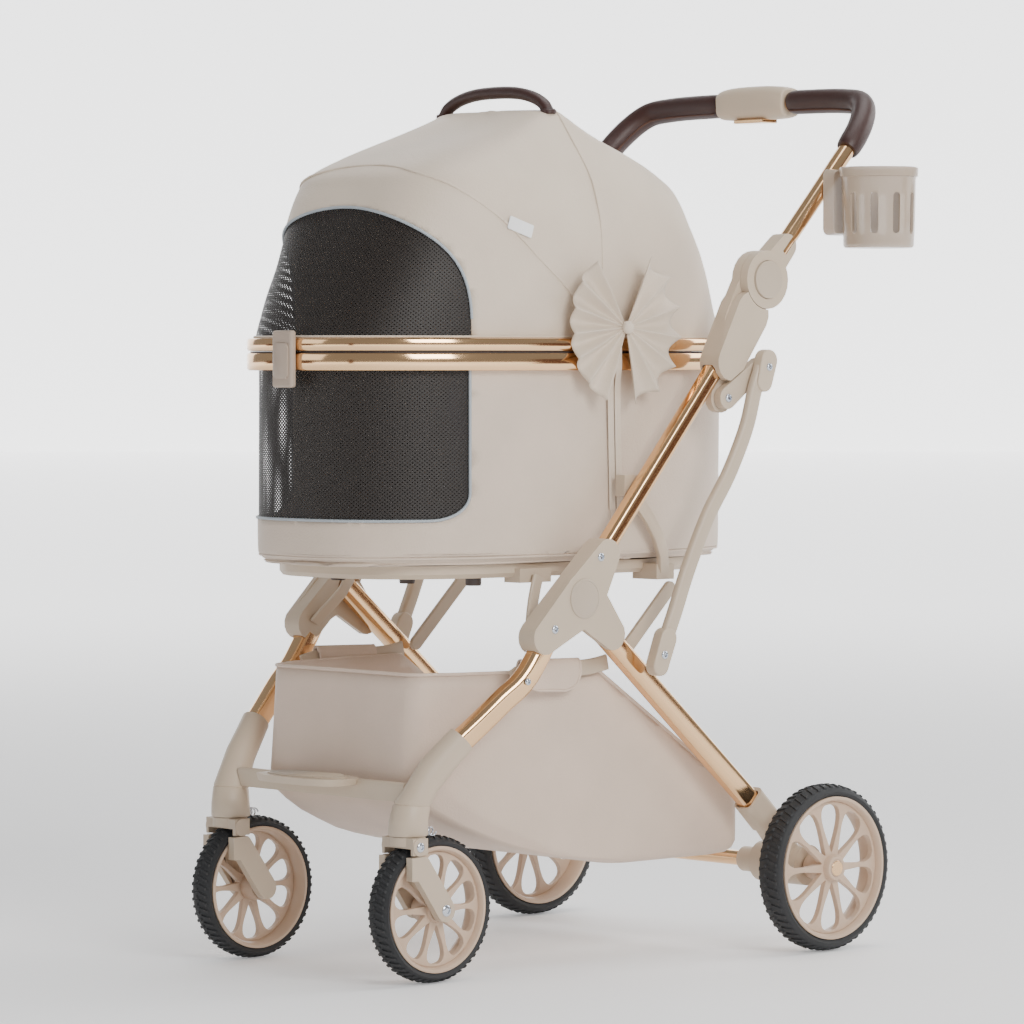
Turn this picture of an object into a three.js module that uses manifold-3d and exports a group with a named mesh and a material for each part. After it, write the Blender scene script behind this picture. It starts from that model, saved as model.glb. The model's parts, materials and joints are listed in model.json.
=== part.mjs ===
// A folding pet stroller: an X-shaped side frame, a detachable fabric cabin with an opening
// canopy, an under-seat basket, two swivelling front casters and two larger rear wheels.
// Millimetres, +Z up, the stroller faces -Y, and its left side is +X.
import * as THREE from 'three';
import { mergeVertices } from 'three/addons/utils/BufferGeometryUtils.js';
import Module from 'manifold-3d';

const wasm = await Module();
wasm.setup();

// ---------- driving dimensions ----------
const GAP = 0.4; // clearance between neighbouring solids
const FACET_TOLERANCE = 0.08; // how far a facet may be moved to tidy a joint
const SIDE_X = 203; // centre plane of the main side tubes
const HUB = [-88, 423]; // y, z of the main folding hub
const HANDLE_HUB = [200, 784]; // y, z of the handle folding hub
const LEVER_PIVOT = [136, 647]; // toggle lever on the handle bracket
const BRACE_TOP = [188.6, 682.7]; // lever to brace
const BRACE_FOOT = [20, 356]; // brace to rear leg
const TUBE = 20; // main tube section
const REAR_LEG_X = 197; // centre plane of the rear legs
const FRONT_WHEEL = { x: 154, y: -266.6, radius: 82.6, width: 32, rim: 70.5, rimHalf: 15.5 };
const REAR_WHEEL = { x: 250, y: 266, radius: 98, width: 36, rim: 83.5, rimHalf: 18 };
const CASTER_TRAIL = 32;
const SWIVEL_Y = FRONT_WHEEL.y - CASTER_TRAIL;
const CABIN_HALF = 167.5; // half width of the cabin
const CABIN_FRONT = -330;
const CABIN_REAR = 268;
const CABIN_FLOOR = 462;
const CABIN_CENTRE_Y = -31;
const WALL = 6; // padded fabric wall
const RING_WIDTH = 12; // how far a ring stands out from the cabin
const LOWER_RING = [679, 699];
const UPPER_RING = [701, 715.5];
const CANOPY_CENTRE_Y = -20;
const CUP = { x: 277, y: 328, radius: 44, low: 822, high: 916 };

const COLOURS = {
  plastic: ['#cdc0b0', 0.55, 0],
  gold: ['#d9b07c', 0.2, 1],
  fabric: ['#d8cec2', 0.9, 0],
  leather: ['#3e221c', 0.6, 0],
  rubber: ['#33343a', 0.85, 0],
  rim: ['#c8b09a', 0.45, 0],
  clear: ['#cfc4b6', 0.3, 0],
};

const group = new THREE.Group();

// ---------- helpers ----------
const v3 = (x, y, z) => new THREE.Vector3(x, y, z);

function merged(geometry) {
  const plain = geometry.index ? geometry.toNonIndexed() : geometry.clone();
  plain.deleteAttribute('normal');
  plain.deleteAttribute('uv');
  return mergeVertices(plain, 1e-3);
}

function solid(geometry) {
  const g = merged(geometry);
  const triVerts = new Uint32Array(g.index.array);
  const vertProperties = new Float32Array(g.attributes.position.array);
  return new wasm.Manifold(new wasm.Mesh({ numProp: 3, vertProperties, triVerts }));
}

function geometryOf(manifold) {
  const mesh = manifold.simplify(FACET_TOLERANCE).getMesh();
  const geometry = new THREE.BufferGeometry();
  geometry.setAttribute('position', new THREE.BufferAttribute(new Float32Array(mesh.vertProperties), 3));
  geometry.setIndex([...mesh.triVerts]);
  return geometry;
}

function add(name, finish, manifold) {
  const [color, roughness, metalness] = COLOURS[finish];
  const material = new THREE.MeshStandardMaterial({ color, roughness, metalness });
  const mesh = new THREE.Mesh(geometryOf(manifold), material);
  mesh.name = name;
  group.add(mesh);
}

// Adds a left piece and its mirror image.
function addPair(name, finish, manifold) {
  add(`${name}_left`, finish, manifold);
  add(`${name}_right`, finish, manifold.mirror([1, 0, 0]));
}

function join(...pieces) {
  return pieces.reduce((all, piece) => all.add(piece));
}

// Turns geometry drawn in a (u, v) plane and raised along w into (y, z) raised along x.
const TO_SIDE = new THREE.Matrix4().makeBasis(v3(0, 1, 0), v3(0, 0, 1), v3(1, 0, 0));

// A flat plate with a (y, z) outline between two x values.
function slab(shape, x0, x1, curveSegments = 4) {
  const g = new THREE.ExtrudeGeometry(shape, { depth: x1 - x0, bevelEnabled: false, curveSegments });
  return solid(g.applyMatrix4(TO_SIDE).translate(x0, 0, 0));
}

function disc(y, z, radius, x0, x1, segments = 24) {
  const g = new THREE.CylinderGeometry(radius, radius, x1 - x0, segments);
  return solid(g.rotateZ(Math.PI / 2).translate((x0 + x1) / 2, y, z));
}

function box(x0, x1, y0, y1, z0, z1) {
  const g = new THREE.BoxGeometry(x1 - x0, y1 - y0, z1 - z0);
  return solid(g.translate((x0 + x1) / 2, (y0 + y1) / 2, (z0 + z1) / 2));
}

// The outline of a straight link with round ends, in the (y, z) plane.
function link(a, b, radiusA, radiusB = radiusA) {
  const angle = Math.atan2(b[1] - a[1], b[0] - a[0]);
  const shape = new THREE.Shape();
  shape.absarc(a[0], a[1], radiusA, angle + Math.PI / 2, angle + 1.5 * Math.PI);
  shape.absarc(b[0], b[1], radiusB, angle - Math.PI / 2, angle + Math.PI / 2);
  shape.closePath();
  return shape;
}

function polygon(points) {
  return new THREE.Shape(points.map(([y, z]) => new THREE.Vector2(y, z)));
}

function roundedRectangle(width, height, radius) {
  const w = width / 2;
  const h = height / 2;
  const shape = new THREE.Shape();
  shape.absarc(w - radius, h - radius, radius, 0, Math.PI / 2);
  shape.absarc(-w + radius, h - radius, radius, Math.PI / 2, Math.PI);
  shape.absarc(-w + radius, -h + radius, radius, Math.PI, 1.5 * Math.PI);
  shape.absarc(w - radius, -h + radius, radius, 1.5 * Math.PI, 2 * Math.PI);
  shape.closePath();
  return shape;
}

// A bar swept along points; its section is width (across the path's plane) by height.
function bar(points, width, height, radius, steps, curveSegments = 2) {
  const path = points.length > 2
    ? new THREE.CatmullRomCurve3(points, false, 'centripetal')
    : new THREE.LineCurve3(points[0], points[1]);
  const shape = roundedRectangle(width, height, radius);
  return solid(new THREE.ExtrudeGeometry(shape, { steps, extrudePath: path, curveSegments }));
}

// A round rod along points.
function rod(points, radius, steps, curveSegments = 2) {
  return bar(points, 2 * radius, 2 * radius, radius - 0.01, steps, curveSegments);
}

// A closed skin through rings of points, each ring the same length and running the same way.
function loft(rings) {
  const count = rings[0].length;
  const vertices = rings.flat().flatMap((p) => [p.x, p.y, p.z]);
  const index = [];
  for (let r = 0; r + 1 < rings.length; r += 1) {
    for (let i = 0; i < count; i += 1) {
      const a = r * count + i;
      const b = r * count + ((i + 1) % count);
      index.push(a, b, b + count, a, b + count, a + count);
    }
  }
  for (const [ring, first] of [[rings[0], 0], [rings.at(-1), (rings.length - 1) * count]]) {
    const centre = ring.reduce((sum, p) => sum.clone().add(p), v3(0, 0, 0)).divideScalar(count);
    const middle = vertices.length / 3;
    vertices.push(centre.x, centre.y, centre.z);
    for (let i = 0; i < count; i += 1) {
      const a = first + i;
      const b = first + ((i + 1) % count);
      index.push(...(first === 0 ? [middle, b, a] : [middle, a, b]));
    }
  }
  const g = new THREE.BufferGeometry();
  g.setAttribute('position', new THREE.Float32BufferAttribute(vertices, 3));
  g.setIndex(index);
  return solid(g);
}

// A horizontal superellipse outline: half width, front and rear reach about a centre.
function planRing(z, half, front, rear, centre, exponent, inset = 0, count = 28) {
  const ring = [];
  for (let i = 0; i < count; i += 1) {
    const t = (2 * Math.PI * i) / count;
    const c = Math.cos(t);
    const s = Math.sin(t);
    const reach = s < 0 ? centre - front : rear - centre;
    const x = (half - inset) * Math.sign(c) * Math.abs(c) ** (2 / exponent);
    const y = centre + (reach - inset) * Math.sign(s) * Math.abs(s) ** (2 / exponent);
    ring.push(v3(x, y, z));
  }
  return ring;
}

const onSide = (points, x = SIDE_X) => points.map(([y, z]) => v3(x, y, z));

// ---------- main hub: a Y-shaped casting on each side ----------
const TUBE_LEAN = THREE.MathUtils.degToRad(40.8); // the upper tube leans back from upright
const alongTube = (distance) => [
  HUB[0] - 5 + distance * Math.sin(TUBE_LEAN), HUB[1] + distance * Math.cos(TUBE_LEAN),
];
const UPPER_END = alongTube(64);
const FRONT_END = [-147, 381];
const REAR_END = [-43, 381];

function mainHub() {
  const arms = [[UPPER_END, 18], [FRONT_END, 19], [REAR_END, 18]];
  const plates = arms.map(([end, radius]) => slab(link(HUB, end, 31, radius), 209, 216));
  const spine = slab(link(UPPER_END, FRONT_END, 18, 19), 190, 209 + GAP);
  const legSweep = join(
    slab(link(HUB, [20, 318], 16), 180, 209),
    slab(link(HUB, [-104, 300], 16), 180, 209),
    slab(polygon([HUB, [20, 318], [-104, 300]]), 180, 209),
  );
  return join(...plates, spine.subtract(legSweep));
}
const upperSocket = bar(onSide([alongTube(28), alongTube(376)]), TUBE + 2 * GAP, TUBE + 2 * GAP, 4, 1);
const FRONT_LEG_PATH = [
  v3(202, -120, 402),
  v3(200, -162, 339),
  v3(193, -194, 311),
  v3(184, -223, 285),
  v3(177, -245, 266),
];
const frontLegSocket = bar(FRONT_LEG_PATH, 22 + 2 * GAP, 26 + 2 * GAP, 6, 5);
addPair('main_hub', 'plastic', mainHub().subtract(upperSocket).subtract(frontLegSocket));

// ---------- upper tube and front leg ----------
addPair('upper_tube', 'gold', bar(onSide([alongTube(30), alongTube(374)]), TUBE, TUBE, 4, 1));
addPair('front_leg', 'gold', bar([v3(202, -121, 400), ...FRONT_LEG_PATH.slice(1)], 22, 26, 6, 5));

// ---------- front socket: a tapered boot that turns the leg down to the caster ----------
function circleRing(centre, normal, radiusX, radiusN, count = 16) {
  const side = v3(1, 0, 0);
  const across = v3(0, 0, 0).crossVectors(normal, side).normalize();
  const ring = [];
  for (let i = 0; i < count; i += 1) {
    const t = (2 * Math.PI * i) / count;
    ring.push(centre.clone()
      .addScaledVector(side, radiusX * Math.cos(t))
      .addScaledVector(across, radiusN * Math.sin(t)));
  }
  return ring;
}

function boot() {
  const stations = [
    [v3(179, -240, 272), v3(-0.35, -0.75, -0.75), 15, 17],
    [v3(170, -262, 249), v3(-0.3, -0.75, -0.8), 16, 18],
    [v3(162, -284, 222), v3(-0.2, -0.45, -1), 17, 19],
    [v3(156, -296, 198), v3(-0.1, -0.15, -1), 19, 21],
    [v3(154, SWIVEL_Y, 178), v3(0, 0, -1), 21, 22],
    [v3(154, SWIVEL_Y, 166), v3(0, 0, -1), 22, 23],
  ];
  return loft(stations.map(([centre, normal, rx, rn]) => circleRing(centre, normal, rx, rn)));
}
addPair('front_socket', 'plastic', boot().subtract(frontLegSocket));

// ---------- footrest between the boots ----------
const footrestBar = bar([v3(-144, -292, 212), v3(144, -292, 212)], 22, 9, 3, 1);
const stepPlate = loft([
  planRing(216, 68, -346, -282, -314, 3, 0, 24),
  planRing(224, 70, -348, -280, -314, 3, 0, 24),
]);
const bootClear = boot();
const footrest = join(footrestBar, stepPlate)
  .subtract(bootClear.translate([-GAP, 0, 0]))
  .subtract(bootClear.mirror([1, 0, 0]).translate([GAP, 0, 0]));
add('footrest', 'plastic', footrest);

// ---------- handle bracket: sleeve on the upper tube, with the hub head on top ----------
function handleBracket() {
  const head = disc(HANDLE_HUB[0], HANDLE_HUB[1], 34, 196, 209);
  const sleeve = slab(link([140, 688], [176, 745], 21, 26), 190.5, 221);
  const neck = slab(link([165, 735], HANDLE_HUB, 24, 30), 196, 209);
  const lobe = slab(link([150, 690], LEVER_PIVOT, 16, 17), 199, 209);
  const pivotClear = disc(HANDLE_HUB[0], HANDLE_HUB[1], 35, 209, 240);
  const leverClear = slab(link(LEVER_PIVOT, BRACE_TOP, 15, 13), 209, 222);
  return join(head, sleeve, neck, lobe).subtract(pivotClear).subtract(leverClear).subtract(upperSocket);
}
addPair('handle_bracket', 'plastic', handleBracket().subtract(
  disc(HANDLE_HUB[0], HANDLE_HUB[1], 9 + GAP, 190, 215),
));

// ---------- cabin platform with its rear arc bars ----------
function platform() {
  const tray = loft([
    planRing(446, 146, -296, 232, CABIN_CENTRE_Y, 3),
    planRing(451, 150, -300, 238, CABIN_CENTRE_Y, 3),
    planRing(461, 150, -300, 238, CABIN_CENTRE_Y, 3),
  ]);
  const release = rod([v3(0, 225, 452), v3(0, 300, 452)], 9, 1);
  const parts = [tray, release];
  for (const side of [1, -1]) {
    const arc = [v3(184 * side, 10, 546), v3(182 * side, 42, 514), v3(176 * side, 72, 474), v3(166 * side, 84, 446)];
    parts.push(bar(arc, 7, 16, 2, 5, 1));
    parts.push(box(side > 0 ? 130 : -170, side > 0 ? 170 : -130, 70, 98, 438, 456));
    parts.push(box(side > 0 ? 130 : -156, side > 0 ? 156 : -130, -132, -84, 440, 456));
    parts.push(box(side > 0 ? 178 : -193, side > 0 ? 193 : -178, -4, 16, 536, 560));
  }
  return join(...parts).subtract(upperSocket).subtract(upperSocket.mirror([1, 0, 0]));
}
add('cabin_platform', 'plastic', platform());

// ---------- links from the platform to the frame ----------
const FRONT_LINK = [[-108, 448], [-143, 388]];
const REAR_LINK = [[84, 428], [6, 352]];
addPair('platform_front_link', 'plastic', bar(
  [v3(160.5, ...FRONT_LINK[0]), v3(162, -116, 425), v3(180, -138, 392), v3(187.5, -143, 382)], 5, 15, 2, 5, 1,
));
addPair('platform_rear_link', 'plastic', slab(link(REAR_LINK[0], REAR_LINK[1], 8), 173.5, 179));

// ---------- basket and its side rails ----------
addPair('basket_rail', 'plastic', bar(
  [v3(182, -168, 336), v3(176, -140, 342), v3(175, -60, 342), v3(175, -32, 344), v3(176, -16, 347)], 5, 18, 2, 6, 1,
));

function basket() {
  const outline = (inset, top) => {
    const shape = new THREE.Shape();
    shape.moveTo(-262 + inset, top);
    shape.lineTo(-274 + inset, 206 + inset * 0.6);
    shape.quadraticCurveTo(-170 + inset, 128 + inset, 0, 117 + inset);
    shape.lineTo(205 - inset, 117 + inset);
    shape.lineTo(218 - inset, 176);
    shape.lineTo(218 - inset, top > 345 ? top : 180);
    if (top <= 345) shape.lineTo(-20, 338);
    shape.closePath();
    return shape;
  };
  const plan = (inset, low, high) => {
    const front = -275 + inset;
    const shape = new THREE.Shape([[-128, front], [128, front], [150, -200], [167, -110], [168, 235],
      [-168, 235], [-167, -110], [-150, -200]].map(([x, y]) => new THREE.Vector2(x - Math.sign(x) * inset, y)));
    const g = new THREE.ExtrudeGeometry(shape, { depth: high - low, bevelEnabled: false });
    return solid(g.translate(0, 0, low));
  };
  const outer = slab(outline(0, 338), -170, 170, 6).intersect(plan(0, 100, 360));
  const inner = slab(outline(4, 400), -170, 170, 6).intersect(plan(4, 100, 420));
  return outer.subtract(inner);
}
add('basket', 'fabric', basket());

// ---------- rear legs, sockets and axle ----------
const REAR_LEG_FOOT = [214, 160];
const legHead = disc(HUB[0], HUB[1], 12.5, REAR_LEG_X - 11, REAR_LEG_X + 11, 24);
const rearLegBar = bar(
  [v3(REAR_LEG_X, ...HUB), v3(REAR_LEG_X, ...REAR_LEG_FOOT)], 22, 25, 5, 1,
);
const rearLegClear = bar(
  [v3(REAR_LEG_X, ...HUB), v3(REAR_LEG_X, 215, 159)], 22 + 2 * GAP, 25 + 2 * GAP, 5, 1,
);
addPair('rear_leg', 'gold', join(rearLegBar, legHead));

function rearSocket() {
  const cuff = bar([v3(REAR_LEG_X, 193, 180), v3(REAR_LEG_X, 222, 152)], 30, 33, 9, 1, 4);
  const arm = bar([v3(REAR_LEG_X, 215, 160), v3(199, 240, 130), v3(200, REAR_WHEEL.y, 100)], 27, 29, 9, 6, 4);
  const barrel = disc(REAR_WHEEL.y, REAR_WHEEL.radius, 24, 150, 225);
  const footLug = join(arm, barrel, cuff);
  const axleBore = disc(REAR_WHEEL.y, REAR_WHEEL.radius, 9 + GAP, 100, 240, 20);
  return footLug.subtract(rearLegClear).subtract(axleBore);
}
addPair('rear_socket', 'plastic', rearSocket());
const AXLE_HALF = REAR_WHEEL.x + REAR_WHEEL.rimHalf + 4;
add('rear_axle', 'gold', disc(REAR_WHEEL.y, REAR_WHEEL.radius, 9, -AXLE_HALF, AXLE_HALF, 20));

// ---------- brake pedal behind the axle ----------
function brakePedal() {
  const hub = disc(REAR_WHEEL.y, REAR_WHEEL.radius, 15, 120, 146);
  const arm = box(123, 143, REAR_WHEEL.y + 8, REAR_WHEEL.y + 48, 92, 104);
  const pad = box(112, 154, REAR_WHEEL.y + 40, REAR_WHEEL.y + 66, 90, 98);
  return join(hub, arm, pad).subtract(disc(REAR_WHEEL.y, REAR_WHEEL.radius, 9 + GAP, 100, 160, 20));
}
add('brake_pedal', 'plastic', brakePedal());

// ---------- brace and toggle lever ----------
const BRACE_PATH = [[183, 682], [172, 655], [158, 612], [130, 560], [96, 512], [64, 452], [42, 402], BRACE_FOOT];
function brace() {
  const curve = bar(onSide(BRACE_PATH, 227), 10, 19, 4, 12, 1);
  const cap = slab(link([189, 690], [183, 668], 13), 221, 235);
  const foot = slab(link([27, 372], [17, 346], 12), 219, 233);
  return join(curve, cap, foot);
}
addPair('brace', 'plastic', brace());
addPair('toggle_lever', 'plastic', slab(link(LEVER_PIVOT, BRACE_TOP, 13, 11), 209.5, 220.5));

// ---------- wheels ----------
const PETALS = 10;
function petal(inner, outer, angle) {
  const spread = (Math.PI / PETALS) * 0.68;
  const corners = [[inner, 0], [outer * 0.86, spread], [outer, 0], [outer * 0.86, -spread]];
  return polygon(corners.map(([radius, turn]) => [
    radius * Math.cos(angle + turn), radius * Math.sin(angle + turn),
  ]));
}

function rim(wheel) {
  const face = wheel.rim - 0.3;
  const half = wheel.rimHalf;
  const centred = (radius, reach, segments) => disc(0, 0, radius, -reach, reach, segments);
  const barrel = centred(face, half, 28).subtract(centred(face - 6, half + 5, 28));
  const web = centred(face - 3, half * 0.45, 28);
  const windows = [];
  for (let i = 0; i < PETALS; i += 1) {
    const outline = petal(20, wheel.rim - 12, (2 * Math.PI * (i + 0.5)) / PETALS);
    windows.push(slab(outline, -half, half));
  }
  const hub = centred(15, half + 2, 20);
  const bore = centred(9 + GAP, 40, 16);
  return join(barrel, web.subtract(join(...windows)), hub).subtract(bore)
    .translate([wheel.x, wheel.y, wheel.radius]);
}

function tyre(wheel) {
  const half = wheel.width / 2;
  const outer = wheel.radius;
  const profile = [
    [wheel.rim, -half * 0.8], [wheel.rim + 3, -half], [outer - 5, -half * 0.9], [outer, -half * 0.45],
    [outer, half * 0.45], [outer - 5, half * 0.9], [wheel.rim + 3, half], [wheel.rim, half * 0.8],
    [wheel.rim, -half * 0.8],
  ].map(([r, w]) => new THREE.Vector2(r, w));
  const g = new THREE.LatheGeometry(profile, 28);
  return solid(g.rotateZ(-Math.PI / 2).translate(wheel.x, wheel.y, wheel.radius));
}
addPair('rear_rim', 'rim', rim(REAR_WHEEL));
addPair('rear_tyre', 'rubber', tyre(REAR_WHEEL));
addPair('front_rim', 'rim', rim(FRONT_WHEEL));
addPair('front_tyre', 'rubber', tyre(FRONT_WHEEL));

// ---------- front casters ----------
const CROWN_TOP = 165.5;
function casterHousing() {
  const barrel = disc(-304, 155, 10, FRONT_WHEEL.x - 27, FRONT_WHEEL.x + 27);
  const top = solid(new THREE.CylinderGeometry(21, 21, 10, 28).rotateX(Math.PI / 2)
    .translate(FRONT_WHEEL.x, SWIVEL_Y, CROWN_TOP - 5.2));
  const cheeks = box(FRONT_WHEEL.x - 26, FRONT_WHEEL.x + 26, -314, -292, 146, CROWN_TOP - 1);
  const tab = slab(link([-296, 158], [-258, 176], 7, 5), FRONT_WHEEL.x - 11, FRONT_WHEEL.x + 11);
  const bootSpace = box(100, 210, -360, -200, CROWN_TOP, 220);
  return join(barrel, top, cheeks, tab).subtract(bootSpace)
    .subtract(disc(FRONT_WHEEL.y, FRONT_WHEEL.radius, FRONT_WHEEL.radius + 3, FRONT_WHEEL.x - 22, FRONT_WHEEL.x + 22));
}
addPair('caster_housing', 'plastic', casterHousing());

function casterFork() {
  const blades = [-1, 1].map((side) => {
    const x0 = FRONT_WHEEL.x + (side > 0 ? 18.5 : -28);
    return slab(link([-303, 134], [FRONT_WHEEL.y, FRONT_WHEEL.radius], 13), x0, x0 + 9.5);
  });
  const bridge = box(FRONT_WHEEL.x - 28, FRONT_WHEEL.x + 28, -317, -305, 118, 144);
  const pin = disc(FRONT_WHEEL.y, FRONT_WHEEL.radius, 8, FRONT_WHEEL.x - 28, FRONT_WHEEL.x + 28, 20);
  const wheelSpace = disc(FRONT_WHEEL.y, FRONT_WHEEL.radius, FRONT_WHEEL.radius + 3,
    FRONT_WHEEL.x - 18, FRONT_WHEEL.x + 18);
  const frame = join(...blades, bridge).subtract(wheelSpace);
  const above = box(100, 210, -340, -240, 144.5, 200);
  return join(frame, pin).subtract(above);
}
addPair('caster_fork', 'plastic', casterFork());

// ---------- push handle ----------
const CORNER_X = 150;
const handlePath = [
  v3(-209, 200, 784), v3(-209, 251, 838), v3(-209, 323, 915), v3(-206, 368, 962), v3(-186, 398, 993),
  v3(-CORNER_X, 407, 1001), v3(-70, 408, 1003), v3(70, 408, 1003), v3(CORNER_X, 407, 1001),
  v3(186, 398, 993), v3(206, 368, 962), v3(209, 323, 915), v3(209, 251, 838), v3(209, 200, 784),
];
const handleCurve = new THREE.CatmullRomCurve3(handlePath, false, 'centripetal');

function handleStretch(from, to, radius, steps) {
  const points = [];
  for (let i = 0; i <= steps; i += 1) points.push(handleCurve.getPointAt(from + ((to - from) * i) / steps));
  const path = new THREE.CatmullRomCurve3(points, false, 'centripetal');
  const shape = roundedRectangle(2 * radius, 2 * radius, radius - 0.01);
  return solid(new THREE.ExtrudeGeometry(shape, { steps, extrudePath: path, curveSegments: 2 }));
}
const TUBE_SPAN = [0.045, 0.955];
const TUBE_STEPS = 30;
const handleTube = handleStretch(...TUBE_SPAN, 10, TUBE_STEPS);
add('handle_tube', 'gold', handleTube);
const tubeClear = handleStretch(...TUBE_SPAN, 10.6, TUBE_STEPS);
addPair('handle_wrap', 'leather', handleStretch(0.563, 0.735, 15, 9).subtract(tubeClear));
const gripCore = solid(new THREE.CapsuleGeometry(19.5, 72, 3, 14).rotateZ(Math.PI / 2).scale(1, 1, 0.85)
  .translate(0, 411, 1004));
const gripEnds = join(box(-70, -51.5, 380, 440, 970, 1040), box(51.5, 70, 380, 440, 970, 1040));
add('centre_grip', 'plastic', gripCore.subtract(tubeClear).subtract(gripEnds));
add('release_trigger', 'gold', box(-26, 24, 393, 419, 979.5, 984.5));

function handlePivot() {
  const head = disc(HANDLE_HUB[0], HANDLE_HUB[1], 34, 209.5, 221);
  const sleeve = slab(link([212, 800], [236, 824], 17, 14), 199, 219);
  const stub = disc(HANDLE_HUB[0], HANDLE_HUB[1], 9, 198, 215, 20);
  const headClear = disc(HANDLE_HUB[0], HANDLE_HUB[1], 35, 180, 209.5);
  const buttonWell = disc(HANDLE_HUB[0], HANDLE_HUB[1], 22.5, 215.5, 230);
  return join(head, sleeve.subtract(headClear), stub).subtract(tubeClear).subtract(buttonWell);
}
// The tube's clearance cuts a crumb off the sleeve, so the largest body is the pivot.
const pivotPieces = handlePivot().decompose().sort((a, b) => b.volume() - a.volume());
addPair('handle_pivot', 'plastic', pivotPieces[0]);
addPair('handle_button', 'plastic', disc(HANDLE_HUB[0], HANDLE_HUB[1], 22, 218, 224));

// ---------- cup holder ----------
function cupHolder() {
  const cylinder = (radius, low, high) => solid(new THREE.CylinderGeometry(radius, radius * 0.93, high - low, 24)
    .rotateX(Math.PI / 2).translate(CUP.x, CUP.y, (low + high) / 2));
  const band = solid(new THREE.CylinderGeometry(CUP.radius + 2, CUP.radius + 2, 10, 24)
    .rotateX(Math.PI / 2).translate(CUP.x, CUP.y, CUP.high - 5));
  const bore = cylinder(CUP.radius - 3, CUP.low + 4, CUP.high + 10);
  const wall = join(cylinder(CUP.radius, CUP.low, CUP.high), band).subtract(bore);
  const slots = [];
  for (let i = 0; i < 8; i += 1) {
    const slot = new THREE.BoxGeometry(2 * CUP.radius + 20, 9, 50).rotateZ((Math.PI * (i + 0.5)) / 8)
      .translate(CUP.x, CUP.y, CUP.low + 42);
    slots.push(solid(slot));
  }
  const clampZone = box(200, CUP.x - 30, 270, 400, 800, 930);
  const clamp = box(219.7, CUP.x - CUP.radius + 6, 292, 336, 836, 912);
  return join(wall.subtract(join(...slots).subtract(clampZone)), clamp.subtract(bore)).subtract(tubeClear);
}
add('cup_holder', 'clear', cupHolder());

// ---------- cabin ----------
const cabinRing = (z, inset) => planRing(
  z, CABIN_HALF, CABIN_FRONT, CABIN_REAR, CABIN_CENTRE_Y, 2.8, inset,
);
const tubOuter = loft([
  cabinRing(CABIN_FLOOR, 14), cabinRing(CABIN_FLOOR + 6, 4), cabinRing(CABIN_FLOOR + 18, 0),
  cabinRing(LOWER_RING[1], 0),
]);
const tubInner = loft([cabinRing(CABIN_FLOOR + 12, 10), cabinRing(LOWER_RING[1] + 20, WALL)]);
add('cabin_tub', 'fabric', tubOuter.subtract(tubInner));
add('cushion', 'fabric', loft([
  cabinRing(CABIN_FLOOR + 12.5, 20), cabinRing(CABIN_FLOOR + 20, 15), cabinRing(CABIN_FLOOR + 38, 15),
  cabinRing(CABIN_FLOOR + 46, 22),
]));

function cabinBand(low, high, inner) {
  const outside = loft([
    cabinRing(low, -RING_WIDTH + 2), cabinRing(low + 3, -RING_WIDTH),
    cabinRing(high - 3, -RING_WIDTH), cabinRing(high, -RING_WIDTH + 2),
  ]);
  return outside.subtract(loft([cabinRing(low - 5, inner), cabinRing(high + 5, inner)]));
}
add('lower_ring', 'gold', cabinBand(...LOWER_RING, -GAP));
add('upper_ring', 'gold', cabinBand(...UPPER_RING, 3));
const LATCH_BACK = CABIN_FRONT - RING_WIDTH - GAP;
add('front_latch', 'plastic', box(-17, 17, LATCH_BACK - 8.6, LATCH_BACK, 660, 724));

// ---------- canopy ----------
const CANOPY_PROFILE = [ // z, half width, front, rear, exponent
  [716, 167, -336, 267, 2.8],
  [806, 167, -293, 230, 3],
  [848, 164, -269, 195, 3.5],
  [883, 155, -250, 168, 4],
  [903, 146, -236, 143, 4],
  [924, 132, -189, 107, 4],
  [950, 113, -113, 45, 4],
  [971, 97, -58, 8, 3.5],
  [977, 88, -48, 0, 3],
];
function canopySkin(inset, drop) {
  return loft(CANOPY_PROFILE.map(([z, half, front, rear, exponent]) => planRing(
    z - drop, half, front, rear, CANOPY_CENTRE_Y, exponent, inset,
  )));
}
const canopyInner = canopySkin(WALL, 6);
const canopyMouth = planRing(700, 167, -336, 267, CANOPY_CENTRE_Y, 2.8, WALL);
const canopyOpening = loft([canopyMouth, planRing(740, 166, -326, 258, CANOPY_CENTRE_Y, 2.8, WALL)]);
add('canopy_shell', 'fabric', canopySkin(0, 0).subtract(canopyInner).subtract(canopyOpening));
const carryArch = [v3(-88, -26, 979), v3(-70, -26, 991), v3(-30, -26, 1001), v3(30, -26, 1001), v3(70, -26, 991),
  v3(88, -26, 979)];
add('carry_handle', 'leather', rod(carryArch, 8, 10).subtract(canopySkin(-GAP, -GAP)));

// ---------- bow on the left side ----------
const BOW = { y: 3, z: 728, reach: 86, spread: 2.1 };
const bowFan = (tilt) => {
  const start = tilt - BOW.spread / 2;
  const shape = new THREE.Shape();
  shape.moveTo(BOW.y - 4 * Math.cos(tilt), BOW.z - 4 * Math.sin(tilt));
  shape.lineTo(BOW.y + BOW.reach * Math.cos(start), BOW.z + BOW.reach * Math.sin(start));
  shape.absarc(BOW.y, BOW.z, BOW.reach, start, start + BOW.spread);
  shape.closePath();
  return slab(shape, CABIN_HALF + RING_WIDTH + 1, CABIN_HALF + RING_WIDTH + 9);
};
add('bow', 'fabric', join(bowFan(0.15), bowFan(Math.PI + 0.15), disc(BOW.y, BOW.z, 11, 180.5, 191)));

// ---------- origin at the middle of the floor under the whole stroller ----------
const whole = new THREE.Box3().setFromObject(group);
const middle = whole.getCenter(new THREE.Vector3());
group.position.set(-middle.x, -middle.y, -whole.min.z);

export default group;
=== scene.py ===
# A folding pet stroller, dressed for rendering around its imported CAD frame.
import json
import math

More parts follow.
